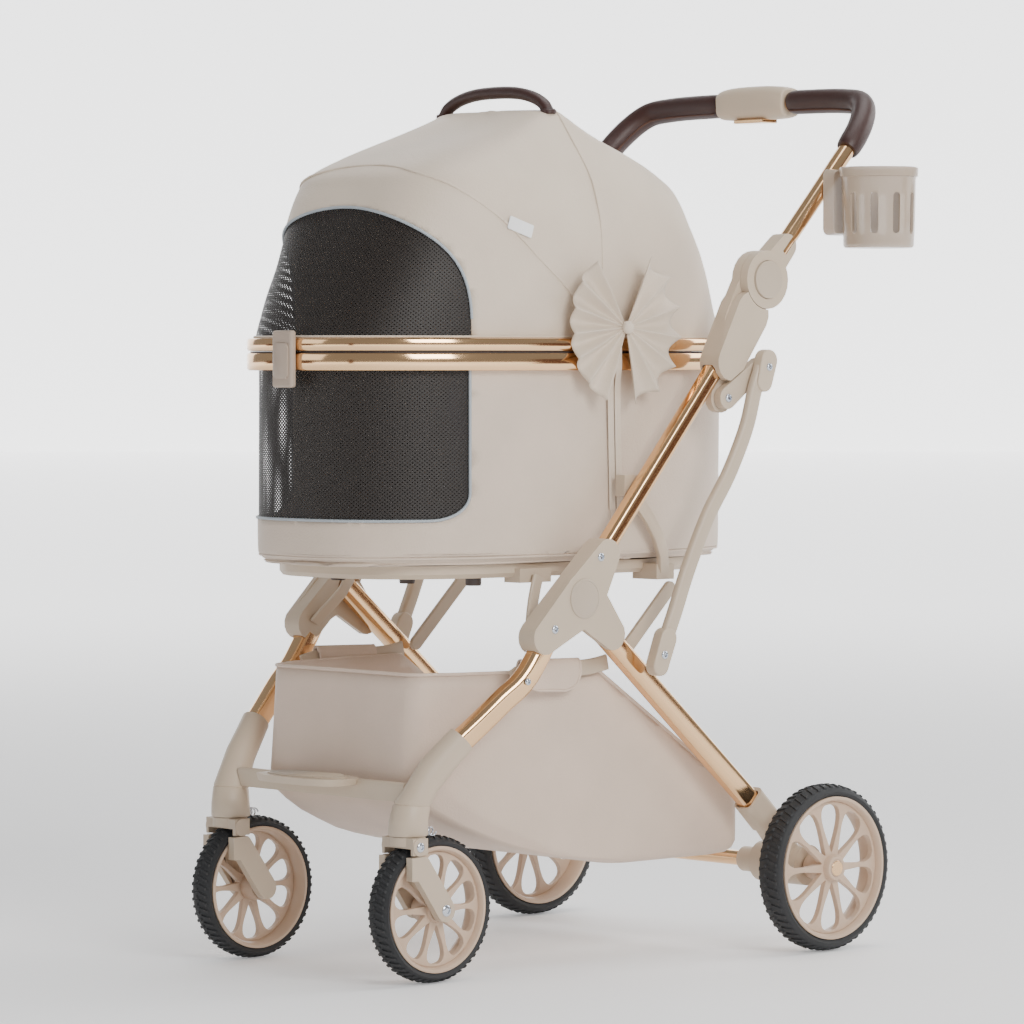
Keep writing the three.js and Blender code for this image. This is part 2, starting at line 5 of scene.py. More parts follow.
import bmesh
import bpy
import numpy as np
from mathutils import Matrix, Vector
from mathutils.geometry import delaunay_2d_cdt

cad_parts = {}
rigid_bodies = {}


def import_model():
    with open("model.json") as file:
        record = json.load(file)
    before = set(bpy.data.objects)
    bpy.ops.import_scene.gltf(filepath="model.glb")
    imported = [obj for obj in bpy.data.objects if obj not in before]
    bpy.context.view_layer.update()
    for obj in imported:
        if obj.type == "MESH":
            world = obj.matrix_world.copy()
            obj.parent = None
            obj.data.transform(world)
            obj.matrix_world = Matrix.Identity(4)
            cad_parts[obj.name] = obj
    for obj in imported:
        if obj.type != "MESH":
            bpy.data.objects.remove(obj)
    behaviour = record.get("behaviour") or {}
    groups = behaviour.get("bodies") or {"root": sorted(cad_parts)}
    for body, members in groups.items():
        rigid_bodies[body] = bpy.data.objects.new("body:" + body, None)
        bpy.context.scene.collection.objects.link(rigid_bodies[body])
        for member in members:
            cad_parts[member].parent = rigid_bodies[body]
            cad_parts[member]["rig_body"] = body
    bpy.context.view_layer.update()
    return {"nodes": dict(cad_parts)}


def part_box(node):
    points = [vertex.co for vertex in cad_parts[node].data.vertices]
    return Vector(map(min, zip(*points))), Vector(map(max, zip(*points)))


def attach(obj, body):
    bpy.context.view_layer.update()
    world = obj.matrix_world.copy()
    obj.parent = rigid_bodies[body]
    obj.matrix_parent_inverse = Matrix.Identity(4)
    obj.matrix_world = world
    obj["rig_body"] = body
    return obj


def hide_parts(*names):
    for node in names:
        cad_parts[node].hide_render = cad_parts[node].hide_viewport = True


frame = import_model()

# ---------- driving dimensions, in the design's own millimetres ----------
HUB = (-88, 423)
LEVER_PIVOT = (136, 647)
BRACE_TOP = (188.6, 682.7)
BRACE_FOOT = (20, 356)
SIDE_X = 203
REAR_LEG_X = 197
TUBE_LEAN = math.radians(40.8)
FRONT_WHEEL = {"x": 154, "y": -266.6, "radius": 82.6, "width": 32, "rim": 70.5, "half": 15.5}
REAR_WHEEL = {"x": 250, "y": 266, "radius": 98, "width": 36, "rim": 83.5, "half": 18}
SWIVEL_Y = FRONT_WHEEL["y"] - 32
CABIN_HALF = 167.5
CABIN_Y = -31
RING_WIDTH = 12
LOWER_RING = (679, 699)
UPPER_RING = (701, 715.5)
CANOPY_Y = -20
CUP = {"x": 277, "y": 328, "radius": 44, "low": 822, "high": 916}

# The CAD part stands centred on the floor; the design's own origin is found from one wheel.
_low, _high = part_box("rear_tyre_left")
SHIFT = Vector((
    (_low.x + _high.x) / 2 - REAR_WHEEL["x"] / 1000,
    (_low.y + _high.y) / 2 - REAR_WHEEL["y"] / 1000,
    0.0,
))


def at(x, y, z):
    """A design point in millimetres as a point in the frame, in metres."""
    return Vector((x, y, z)) / 1000 + SHIFT


# ---------- camera, floor and light ----------
CAMERA_AZIMUTH = math.radians(47.27)
CAMERA_PITCH = math.radians(1.854)
CAMERA_DISTANCE = 5581
EYE_HEIGHT = 694
LENS = 168.06


def add_camera():
    data = bpy.data.cameras.new("camera")
    data.lens = LENS
    data.sensor_width = 36
    data.clip_end = 50
    camera = bpy.data.objects.new("camera", data)
    bpy.context.scene.collection.objects.link(camera)
    sin_a, cos_a = math.sin(CAMERA_AZIMUTH), math.cos(CAMERA_AZIMUTH)
    camera.location = at(CAMERA_DISTANCE * sin_a, -CAMERA_DISTANCE * cos_a, EYE_HEIGHT)
    level, drop = math.cos(CAMERA_PITCH), math.sin(CAMERA_PITCH)
    aim = Vector((-sin_a * level, cos_a * level, -drop))
    camera.rotation_euler = aim.to_track_quat("-Z", "Y").to_euler()
    bpy.context.scene.camera = camera


def area_light(name, position, size, power, target=(0, 0, 500), colour=(1, 1, 1)):
    data = bpy.data.lights.new(name, "AREA")
    data.shape = "RECTANGLE"
    data.size, data.size_y = size[0] / 1000, size[1] / 1000
    data.energy = power
    data.color = colour
    light = bpy.data.objects.new(name, data)
    bpy.context.scene.collection.objects.link(light)
    light.location = at(*position)
    light.rotation_euler = (at(*target) - light.location).to_track_quat("-Z", "Y").to_euler()
    return light


def stage_plane(name, corners, material):
    mesh = bpy.data.meshes.new(name)
    mesh.from_pydata([at(*c) for c in corners], [], [(0, 1, 2, 3)])
    mesh.materials.append(material)
    plane = bpy.data.objects.new(name, mesh)
    bpy.context.scene.collection.objects.link(plane)
    return plane


# ---------- materials ----------
def new_material(name):
    material = bpy.data.materials.new(name)
    material.use_nodes = True
    nodes = material.node_tree.nodes
    return material, nodes, material.node_tree.links, nodes["Principled BSDF"]


def node(nodes, kind, **inputs):
    made = nodes.new(kind)
    for key, value in inputs.items():
        made.inputs[key.replace("_", " ")].default_value = value
    return made


def tint(nodes, links, shader, coords, colour, amount, scale):
    """Base colour with slow, faint variation."""
    noise = node(nodes, "ShaderNodeTexNoise", Scale=scale, Detail=3.0)
    links.new(coords, noise.inputs["Vector"])
    ramp = nodes.new("ShaderNodeValToRGB")
    low = [c * (1 - amount) for c in colour]
    high = [min(1, c * (1 + amount)) for c in colour]
    ramp.color_ramp.elements[0].color = (*low, 1)
    ramp.color_ramp.elements[1].color = (*high, 1)
    ramp.color_ramp.elements[0].position = 0.3
    ramp.color_ramp.elements[1].position = 0.7
    links.new(noise.outputs["Fac"], ramp.inputs["Fac"])
    links.new(ramp.outputs["Color"], shader.inputs["Base Color"])
    return noise


def plastic(name, colour, roughness=0.42, grain=0.04):
    """Satin moulded plastic or powder coat, with a fine spark-eroded texture."""
    material, nodes, links, shader = new_material(name)
    coords = nodes.new("ShaderNodeTexCoord").outputs["Object"]
    tint(nodes, links, shader, coords, colour, 0.03, 9.0)
    fine = node(nodes, "ShaderNodeTexNoise", Scale=2600.0, Detail=2.0)
    links.new(coords, fine.inputs["Vector"])
    bump = node(nodes, "ShaderNodeBump", Strength=grain, Distance=0.0003)
    links.new(fine.outputs["Fac"], bump.inputs["Height"])
    links.new(bump.outputs["Normal"], shader.inputs["Normal"])
    wear = node(nodes, "ShaderNodeTexNoise", Scale=60.0, Detail=4.0)
    links.new(coords, wear.inputs["Vector"])
    spread = nodes.new("ShaderNodeMapRange")
    spread.inputs["To Min"].default_value = roughness - 0.05
    spread.inputs["To Max"].default_value = roughness + 0.06
    links.new(wear.outputs["Fac"], spread.inputs["Value"])
    links.new(spread.outputs["Result"], shader.inputs["Roughness"])
    return material


def metal(name, colour, roughness):
    """Polished anodised metal with a faint, slow variation in colour and roughness."""
    material, nodes, links, shader = new_material(name)
    shader.inputs["Metallic"].default_value = 1.0
    coords = nodes.new("ShaderNodeTexCoord").outputs["Object"]
    tint(nodes, links, shader, coords, colour, 0.02, 6.0)
    smudge = node(nodes, "ShaderNodeTexNoise", Scale=28.0, Detail=5.0)
    links.new(coords, smudge.inputs["Vector"])
    spread = nodes.new("ShaderNodeMapRange")
    spread.inputs["To Min"].default_value = roughness * 0.75
    spread.inputs["To Max"].default_value = roughness * 1.35
    links.new(smudge.outputs["Fac"], spread.inputs["Value"])
    links.new(spread.outputs["Result"], shader.inputs["Roughness"])
    return material


def leather(name, colour, roughness=0.55, grain_size=0.0021, depth=0.00042, variation=0.035, sheen=0.15):
    """Grained synthetic leather: rounded pebbles between fine creases."""
    material, nodes, links, shader = new_material(name)
    coords = nodes.new("ShaderNodeTexCoord").outputs["Object"]
    tint(nodes, links, shader, coords, colour, variation, 14.0)
    pebbles = node(nodes, "ShaderNodeTexVoronoi", Scale=1 / grain_size)
    pebbles.feature = "F1"
    wobble = node(nodes, "ShaderNodeTexNoise", Scale=0.35 / grain_size, Detail=3.0)
    links.new(coords, wobble.inputs["Vector"])
    links.new(coords, pebbles.inputs["Vector"])
    mixed = nodes.new("ShaderNodeMath")
    mixed.operation = "ADD"
    links.new(pebbles.outputs["Distance"], mixed.inputs[0])
    links.new(wobble.outputs["Fac"], mixed.inputs[1])
    bump = node(nodes, "ShaderNodeBump", Strength=0.55, Distance=depth)
    bump.invert = True
    links.new(mixed.outputs["Value"], bump.inputs["Height"])
    links.new(bump.outputs["Normal"], shader.inputs["Normal"])
    shader.inputs["Roughness"].default_value = roughness
    shader.inputs["Sheen Weight"].default_value = sheen
    shader.inputs["Sheen Roughness"].default_value = 0.5
    return material


def woven(name, colour, pitch=0.0011, roughness=0.85):
    """Plain-woven cloth: crossed threads in bump and a soft sheen."""
    material, nodes, links, shader = new_material(name)
    coords = nodes.new("ShaderNodeTexCoord").outputs["Object"]
    tint(nodes, links, shader, coords, colour, 0.05, 20.0)
    waves = []
    for axis in ("X", "Z"):
        wave = node(nodes, "ShaderNodeTexWave", Scale=0.16 / pitch, Distortion=0.4)
        wave.bands_direction = axis
        links.new(coords, wave.inputs["Vector"])
        waves.append(wave.outputs["Fac"])
    cross = nodes.new("ShaderNodeMath")
    cross.operation = "MAXIMUM"
    links.new(waves[0], cross.inputs[0])
    links.new(waves[1], cross.inputs[1])
    bump = node(nodes, "ShaderNodeBump", Strength=0.5, Distance=0.0003)
    links.new(cross.outputs["Value"], bump.inputs["Height"])
    links.new(bump.outputs["Normal"], shader.inputs["Normal"])
    shader.inputs["Roughness"].default_value = roughness
    shader.inputs["Sheen Weight"].default_value = 0.3
    return material


def rubber(name, colour):
    material, nodes, links, shader = new_material(name)
    coords = nodes.new("ShaderNodeTexCoord").outputs["Object"]
    tint(nodes, links, shader, coords, colour, 0.12, 30.0)
    fine = node(nodes, "ShaderNodeTexNoise", Scale=900.0, Detail=3.0)
    links.new(coords, fine.inputs["Vector"])
    bump = node(nodes, "ShaderNodeBump", Strength=0.25, Distance=0.0003)
    links.new(fine.outputs["Fac"], bump.inputs["Height"])
    links.new(bump.outputs["Normal"], shader.inputs["Normal"])
    shader.inputs["Roughness"].default_value = 0.68
    return material


def net(name, colour, pitch=0.0036, hole=0.155):
    """Knitted spacer mesh: staggered round holes through a dark, slightly shiny knit."""
    material, nodes, links, shader = new_material(name)
    coords = nodes.new("ShaderNodeUVMap").outputs["UV"]
    distances = []
    for shift in (0.0, 0.5):
        mapping = nodes.new("ShaderNodeMapping")
        mapping.inputs["Scale"].default_value = (1 / pitch, 1 / (pitch * 1.2), 1)
        mapping.inputs["Location"].default_value = (shift, shift, 0)
        links.new(coords, mapping.inputs["Vector"])
        wrapped = nodes.new("ShaderNodeVectorMath")
        wrapped.operation = "FRACTION"
        links.new(mapping.outputs["Vector"], wrapped.inputs[0])
        centred = nodes.new("ShaderNodeVectorMath")
        centred.operation = "SUBTRACT"
        centred.inputs[1].default_value = (0.5, 0.5, 0)
        links.new(wrapped.outputs["Vector"], centred.inputs[0])
        flat = nodes.new("ShaderNodeVectorMath")
        flat.operation = "MULTIPLY"
        flat.inputs[1].default_value = (1, 1, 0)
        links.new(centred.outputs["Vector"], flat.inputs[0])
        length = nodes.new("ShaderNodeVectorMath")
        length.operation = "LENGTH"
        links.new(flat.outputs["Vector"], length.inputs[0])
        distances.append(length.outputs["Value"])
    nearest = nodes.new("ShaderNodeMath")
    nearest.operation = "MINIMUM"
    links.new(distances[0], nearest.inputs[0])
    links.new(distances[1], nearest.inputs[1])
    solid = nodes.new("ShaderNodeMapRange")
    solid.inputs["From Min"].default_value = hole - 0.05
    solid.inputs["From Max"].default_value = hole + 0.05
    links.new(nearest.outputs["Value"], solid.inputs["Value"])
    links.new(solid.outputs["Result"], shader.inputs["Alpha"])
    bump = node(nodes, "ShaderNodeBump", Strength=0.6, Distance=0.0004)
    links.new(nearest.outputs["Value"], bump.inputs["Height"])
    links.new(bump.outputs["Normal"], shader.inputs["Normal"])
    shader.inputs["Base Color"].default_value = (*colour, 1)
    shader.inputs["Roughness"].default_value = 0.55
    return material


def translucent(name, colour, alpha):
    material, nodes, links, shader = new_material(name)
    coords = nodes.new("ShaderNodeTexCoord").outputs["Object"]
    tint(nodes, links, shader, coords, colour, 0.02, 20.0)
    shader.inputs["Roughness"].default_value = 0.16
    shader.inputs["Alpha"].default_value = alpha
    shader.inputs["Coat Weight"].default_value = 0.3
    return material


def plain(name, colour, roughness=0.9, strength=0.0):
    """An even colour that may glow, for the studio only."""
    material, *_, shader = new_material(name)
    shader.inputs["Base Color"].default_value = (*colour, 1)
    shader.inputs["Roughness"].default_value = roughness
    if strength:
        shader.inputs["Emission Color"].default_value = (*colour, 1)
        shader.inputs["Emission Strength"].default_value = strength
    return material


M = {
    "plastic": plastic("satin_plastic", (0.55, 0.445, 0.335)),
    "button": plastic("button_plastic", (0.50, 0.41, 0.315)),
    "bar": plastic("painted_bar", (0.53, 0.43, 0.325), 0.36),
    "rim": plastic("rim_plastic", (0.58, 0.425, 0.31), 0.4),
    "latch": plastic("latch_plastic", (0.42, 0.33, 0.26), 0.35),
    "dark": plastic("dark_rubber_foot", (0.045, 0.03, 0.025), 0.5),
    "gold": metal("champagne_metal", (0.88, 0.57, 0.31), 0.12),
    "steel": metal("screw_steel", (0.60, 0.64, 0.70), 0.2),
    "canopy": leather("canopy_leather", (0.65, 0.545, 0.435)),
    "cabin": leather("cabin_leather", (0.63, 0.515, 0.415)),
    "basket": leather("basket_leather", (0.66, 0.52, 0.42)),
    "window_piping": plastic("window_piping", (0.36, 0.40, 0.43), 0.5),
    "brown": leather("brown_leather", (0.034, 0.010, 0.007), 0.42, 0.0013, 0.0003, 0.05, 0.02),
    "stitch": plastic("stitch_thread", (0.10, 0.045, 0.03), 0.7),
    "cushion": woven("cushion_cloth", (0.13, 0.11, 0.10)),
    "lining": woven("lining_cloth", (0.16, 0.13, 0.11)),
    "rubber": rubber("tyre_rubber", (0.022, 0.023, 0.025)),
    "net": net("window_net", (0.014, 0.010, 0.008)),
    "cup": translucent("cup_plastic", (0.50, 0.40, 0.31), 0.80),
    "label": woven("label_cloth", (0.85, 0.85, 0.84), 0.0006),
}


# ---------- mesh helpers ----------
def piece(name, vertices, faces, material, body, slot, replaces=(), smooth=True, sharp=None,
          bevel=None, subdivide=0, solidify=None, uvs=None):
    """A mesh object from design millimetres that rides on a body."""
    mesh = bpy.data.meshes.new(name)
    mesh.from_pydata([at(*v) for v in vertices], [], faces)
    mesh.materials.append(M[material])
    if uvs is not None:
        layer = mesh.uv_layers.new(name="UVMap")
        for loop in mesh.loops:
            layer.data[loop.index].uv = uvs[loop.vertex_index]
    tidy = bmesh.new()
    tidy.from_mesh(mesh)
    if not solidify:
        bmesh.ops.recalc_face_normals(tidy, faces=tidy.faces)
    if sharp is not None:
        limit = math.radians(sharp)
        for edge in tidy.edges:
            if len(edge.link_faces) == 2 and edge.calc_face_angle(0) > limit:
                edge.smooth = False
    for face in tidy.faces:
        face.smooth = smooth
    tidy.to_mesh(mesh)
    tidy.free()
    made = bpy.data.objects.new(name, mesh)
    bpy.context.scene.collection.objects.link(made)
    if solidify:
        thick = made.modifiers.new("thickness", "SOLIDIFY")
        thick.thickness = solidify[0] / 1000
        thick.offset = solidify[1]
    if bevel:
        edge = made.modifiers.new("edges", "BEVEL")
        edge.width = bevel / 1000
        edge.segments = 3
        edge.limit_method = "ANGLE"
        edge.angle_limit = math.radians(32)
        edge.harden_normals = True
    if subdivide:
        sub = made.modifiers.new("subdivide", "SUBSURF")
        sub.levels = sub.render_levels = subdivide
    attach(made, body)
    if replaces:
        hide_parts(*replaces)
    return made


def mirrored(vertices):
    return [(-x, y, z) for x, y, z in vertices]


SIDES = (("left", 1), ("right", -1))


def pair(name, vertices, faces, material, body, slot, replaces=(), **options):
    """A left piece and its mirror image; {side} in body and replaces is filled in."""
    for side, sign in SIDES:
        points = vertices if sign > 0 else mirrored(vertices)
        piece(f"{name}_{side}", points, faces, material, body.format(side=side), slot,
              [r.format(side=side) for r in replaces], **options)


def smooth_path(points, count, closed=False):
    """Catmull-Rom samples through points."""
    p = np.array(points, float)
    if closed:
        p = np.vstack([p[-1], p, p[0], p[1]])
    else:
        p = np.vstack([2 * p[0] - p[1], p, 2 * p[-1] - p[-2]])
    spans = len(p) - 3
    chords = np.linalg.norm(np.diff(p, axis=0), axis=1)[1:-1]
    marks = np.concatenate([[0], np.cumsum(chords)])
    out = []
    total = count if closed else count - 1
    for i in range(count):
        s = marks[-1] * i / total
        k = min(int(np.searchsorted(marks, s, side="right")) - 1, spans - 1)
        t = (s - marks[k]) / max(chords[k], 1e-9)
        a, b, c, d = p[k], p[k + 1], p[k + 2], p[k + 3]
        out.append(0.5 * (2 * b + (c - a) * t + (2 * a - 5 * b + 4 * c - d) * t * t
                          + (3 * b - a - 3 * c + d) * t ** 3))
    return np.array(out)


def rounded_section(width, height, radius, arc=4):
    """Points of a rounded rectangle, width along a and height along b."""
    points = []
    for cx, cy, start in ((1, 1, 0), (-1, 1, 90), (-1, -1, 180), (1, -1, 270)):
        for i in range(arc + 1):
            t = math.radians(start + 90 * i / arc)
            points.append((cx * (width / 2 - radius) + radius * math.cos(t),
                           cy * (height / 2 - radius) + radius * math.sin(t)))
    return points


def round_section(radius, count=20):
    return [(radius * math.cos(2 * math.pi * i / count), radius * math.sin(2 * math.pi * i / count))
            for i in range(count)]


def skin(rings, closed=False):
    """Vertices and faces through rings of points, with a cap at each end unless closed."""
    count = len(rings[0])
    vertices = [tuple(p) for ring in rings for p in ring]
    faces = []
    for r in range(len(rings) if closed else len(rings) - 1):
        s = (r + 1) % len(rings)
        for i in range(count):
            j = (i + 1) % count
            faces.append((r * count + i, r * count + j, s * count + j, s * count + i))
    if not closed:
        faces.append(tuple(reversed(range(count))))
        faces.append(tuple(range((len(rings) - 1) * count, len(rings) * count)))
    return vertices, faces


def sweep(path, section, side=(1, 0, 0), closed=False, scale=None):
    """A section swept along sampled points; a runs along side, b across it."""
    path = np.array(path, float)
    ahead = np.roll(path, -1, 0) - np.roll(path, 1, 0)
    if not closed:
        ahead[0] = path[1] - path[0]
        ahead[-1] = path[-1] - path[-2]
    rings = []
    for i, (p, t) in enumerate(zip(path, ahead)):
        t = t / np.linalg.norm(t)
        a = np.array(side, float) - np.dot(side, t) * t
        a /= np.linalg.norm(a)
        b = np.cross(t, a)
        k = scale(i / (len(path) - 1)) if scale else 1
        rings.append([p + k * (u * a + v * b) for u, v in section])
    return skin(rings, closed)


def merge_parts(*parts):
    vertices, faces = [], []
    for part_vertices, part_faces in parts:
        base = len(vertices)
        vertices += list(part_vertices)
        faces += [tuple(i + base for i in face) for face in part_faces]
    return vertices, faces


def turned_point(centre, axis, radius, along, angle):
    """A point at a radius and an angle about the x or z axis through centre."""
    across = radius * math.cos(angle)
    up = radius * math.sin(angle)
    if axis == "x":
        return (centre[0] + along, centre[1] + across, centre[2] + up)
    return (centre[0] + across, centre[1] + up, centre[2] + along)


def lathe(profile, centre, count=64):
    """A closed (radius, along) profile turned about the x axis through centre."""
    angles = [2 * math.pi * i / count for i in range(count)]
    rings = [[turned_point(centre, "x", radius, along, t) for radius, along in profile] for t in angles]
    return skin(rings, closed=True)


def turned(profile, centre, axis="x", count=48):
    """A solid of revolution whose profile starts and ends on the axis."""
    angles = [2 * math.pi * i / count for i in range(count)]
    inner = [p for p in profile if p[0] > 1e-6]
    return skin([[turned_point(centre, axis, radius, along, t) for t in angles] for radius, along in inner])


def refine(node_name, material, bevel=1.0):
    """A copy of a CAD node with its facets merged and its edges rounded."""
    source = frame["nodes"][node_name]
    mesh = source.data.copy()
    mesh.materials.clear()
    mesh.materials.append(M[material])
    tidy = bmesh.new()
    tidy.from_mesh(mesh)
    bmesh.ops.remove_doubles(tidy, verts=tidy.verts, dist=2e-5)
    bmesh.ops.dissolve_limit(tidy, angle_limit=math.radians(3), verts=tidy.verts, edges=tidy.edges)
    limit = math.radians(32)
    for face in tidy.faces:
        face.smooth = True
        face.material_index = 0
    for edge in tidy.edges:
        if len(edge.link_faces) == 2:
            edge.smooth = edge.calc_face_angle(0) < limit
    tidy.to_mesh(mesh)
    tidy.free()
    made = bpy.data.objects.new(f"{node_name}_finish", mesh)
    bpy.context.scene.collection.objects.link(made)
    if bevel:
        edge = made.modifiers.new("edges", "BEVEL")
        edge.width = bevel / 1000
        edge.segments = 3
        edge.limit_method = "ANGLE"
        edge.angle_limit = limit
        edge.harden_normals = True
    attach(made, source["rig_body"])
    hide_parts(node_name)
    return made


add_camera()


def glow_with_distance(material, near, far, near_glow, far_glow):
    """The floor's glow grows away from the object, so the floor meets the backdrop without a line."""
    tree = material.node_tree
    place = tree.nodes.new("ShaderNodeNewGeometry")
    reach = tree.nodes.new("ShaderNodeVectorMath")
    reach.operation = "LENGTH"
    ramp = tree.nodes.new("ShaderNodeMapRange")
    ramp.interpolation_type = "SMOOTHSTEP"
    for name, value in (("From Min", near), ("From Max", far), ("To Min", near_glow), ("To Max", far_glow)):
        ramp.inputs[name].default_value = value
    shader = next(node for node in tree.nodes if node.type == "BSDF_PRINCIPLED")
    tree.links.new(place.outputs["Position"], reach.inputs[0])
    tree.links.new(reach.outputs["Value"], ramp.inputs["Value"])
    tree.links.new(ramp.outputs["Result"], shader.inputs["Emission Strength"])


def add_studio():
    # The floor's paint also glows as painted light: low near the object and rising far off where the lamps'
    # light falls away, so the far floor is as bright as the backdrop.
    floor_material = plain("floor_paint_and_glow", (0.86, 0.86, 0.865), 0.75, 0.26)
    glow_with_distance(floor_material, 1.0, 8.0, 0.26, 2.0)
    stage_plane("floor", [(x * 32000, y * 32000, 0) for x, y in ((-1, -1), (1, -1), (1, 1), (-1, 1))],
                floor_material)
    world = bpy.data.worlds.new("studio")
    bpy.context.scene.world = world
    world.use_nodes = True
    world.node_tree.nodes["Background"].inputs["Color"].default_value = (0.95, 0.955, 0.97, 1)
    world.node_tree.nodes["Background"].inputs["Strength"].default_value = 0.32
    area_light("key", (4600, -900, 2900), (2400, 2200), 190, colour=(1, 0.985, 0.96))
    area_light("fill", (-2600, -3600, 2000), (2200, 1800), 16)
    area_light("top", (300, 900, 3800), (2600, 2600), 75)
    area_light("rear", (1500, 4200, 2400), (2400, 2000), 70)
    glow = plain("backdrop_glow", (1, 1, 1), 0.9, 1.7)
    behind = (-22000, 20300)
    across = (20.3, 22.0)
    stage_plane("backdrop", [(behind[0] + side * across[0], behind[1] + side * across[1], z)
                             for side, z in ((-900, -50), (900, -50), (900, 22000), (-900, 22000))], glow)
    dark = plain("dark_card", (0.075, 0.035, 0.022), 0.9)
    # each card stands where the flats of the polished metal look: centre, half width, z range
    for name, centre, half, low, high in (
        ("card_side", (3900, 3500), 900, 40, 1500),
        ("card_front", (-3900, -3700), 1500, 250, 900),
        ("card_middle", (900, -5600), 260, 40, 1500),
    ):
        reach = math.hypot(*centre)
        across = (-centre[1] / reach * half, centre[0] / reach * half)
        corners = [(centre[0] + s * across[0], centre[1] + s * across[1], z)
                   for s, z in ((-1, low), (1, low), (1, high), (-1, high))]
        card = stage_plane(name, corners, dark)
        card.visible_camera = False
        card.visible_diffuse = False
        card.visible_shadow = False
        card.visible_transmission = False
        card.visible_volume_scatter = False


add_studio()


# ---------- frame: castings and bars kept from the CAD shapes, with rounded edges ----------
CASTINGS = [
    ("main_hub", "plastic", "beige_plastic", 1.6),
    ("handle_bracket", "plastic", "beige_plastic", 1.6),
    ("handle_pivot", "plastic", "beige_plastic", 1.4),
    ("handle_button", "button", "beige_plastic", 0.8),
    ("toggle_lever", "plastic", "beige_plastic", 1.2),
    ("platform_front_link", "bar", "painted_bar", 0.8),
    ("platform_rear_link", "bar", "painted_bar", 0.8),
    ("rear_socket", "plastic", "beige_plastic", 1.0),
    ("caster_housing", "plastic", "beige_plastic", 1.5),
    ("caster_fork", "plastic", "beige_plastic", 1.8),
]
for casting, finish, finish_slot, edge_width in CASTINGS:
    for side_name, _ in SIDES:
        refine(f"{casting}_{side_name}", finish, edge_width)
refine("cabin_platform", "plastic", 1.0)
refine("footrest", "plastic", 1.2)
refine("brake_pedal", "plastic", 1.2)
refine("front_latch", "latch", 3.2)
refine("release_trigger", "gold", 1.4)
refine("rear_axle", "gold", 0.8)


def along_tube(distance):
    return (SIDE_X, HUB[0] - 5 + distance * math.sin(TUBE_LEAN), HUB[1] + distance * math.cos(TUBE_LEAN))


def add_tubes():
    section = rounded_section(20, 20, 7, 8)
    vertices, faces = sweep([along_tube(30), along_tube(374)], section)
    pair("upper_tube_metal", vertices, faces, "gold", "frame", "champagne_tube", ["upper_tube_{side}"],
         sharp=50)
    leg = [(202, -121, 400), (200, -162, 339), (193, -194, 311), (184, -223, 285), (177, -245, 266)]
    vertices, faces = sweep(smooth_path(leg, 24), rounded_section(22, 26, 8, 8))
    pair("front_leg_metal", vertices, faces, "gold", "frame", "champagne_tube", ["front_leg_{side}"],
         sharp=50)
    rear = [(REAR_LEG_X, *HUB), (REAR_LEG_X, 214, 160)]
    vertices, faces = sweep(rear, rounded_section(22, 25, 8, 8))
    pair("rear_leg_metal", vertices, faces, "gold", "rear_frame", "champagne_tube", ["rear_leg_{side}"],
         sharp=50)
    brace = [(227, 183, 682), (227, 172, 655), (227, 158, 612), (227, 130, 560), (227, 96, 512),
             (227, 64, 452), (227, 42, 402), (227, *BRACE_FOOT)]
    vertices, faces = sweep(smooth_path(brace, 48), rounded_section(11, 19, 4.5, 5))
    pair("brace_bar", vertices, faces, "bar", "brace_{side}", "painted_bar", ["brace_{side}"], sharp=50)
    rail = [(182, -168, 336), (176, -140, 342), (175, -60, 342), (175, -32, 344), (176, -16, 347)]
    vertices, faces = sweep(smooth_path(rail, 24), rounded_section(5, 18, 2, 4))
    pair("basket_rail_bar", vertices, faces, "bar", "frame", "painted_bar", ["basket_rail_{side}"], sharp=50)


def link_outline(a, b, radius_a, radius_b, arc=14):
    angle = math.atan2(b[1] - a[1], b[0] - a[0])
    points = []
    for centre, radius, start in ((a, radius_a, angle + math.pi / 2), (b, radius_b, angle - math.pi / 2)):
        for i in range(arc + 1):
            t = start + math.pi * i / arc
            points.append((centre[0] + radius * math.cos(t), centre[1] + radius * math.sin(t)))
    return points


def plate(outline, x0, x1):
    return skin([[(x0, y, z) for y, z in outline], [(x1, y, z) for y, z in outline]])


def add_brace_ends():
    cap = plate(link_outline((190, 690), (183, 666), 13, 12), 220.5, 235)
    foot = plate(link_outline((28, 374), (16, 344), 12.5, 12), 218.5, 234)
    for name, shape in (("brace_cap", cap), ("brace_foot", foot)):
        pair(name, *shape, "plastic", "brace_{side}", "beige_plastic", bevel=2.2, sharp=30)


def screw(name, x, y, z, radius, body, slot="beige_plastic"):
    """A domed button head with a round socket, facing out along x."""
    profile = [(radius, -1.0), (radius, 0.4), (radius * 0.86, 1.3), (radius * 0.55, 1.8),
               (radius * 0.5, 1.8), (radius * 0.42, 0.6), (0.05, 0.5)]
    vertices, faces = turned(profile, (x, y, z), count=24)
    pair(name, vertices, faces, "steel", body, slot, sharp=40)


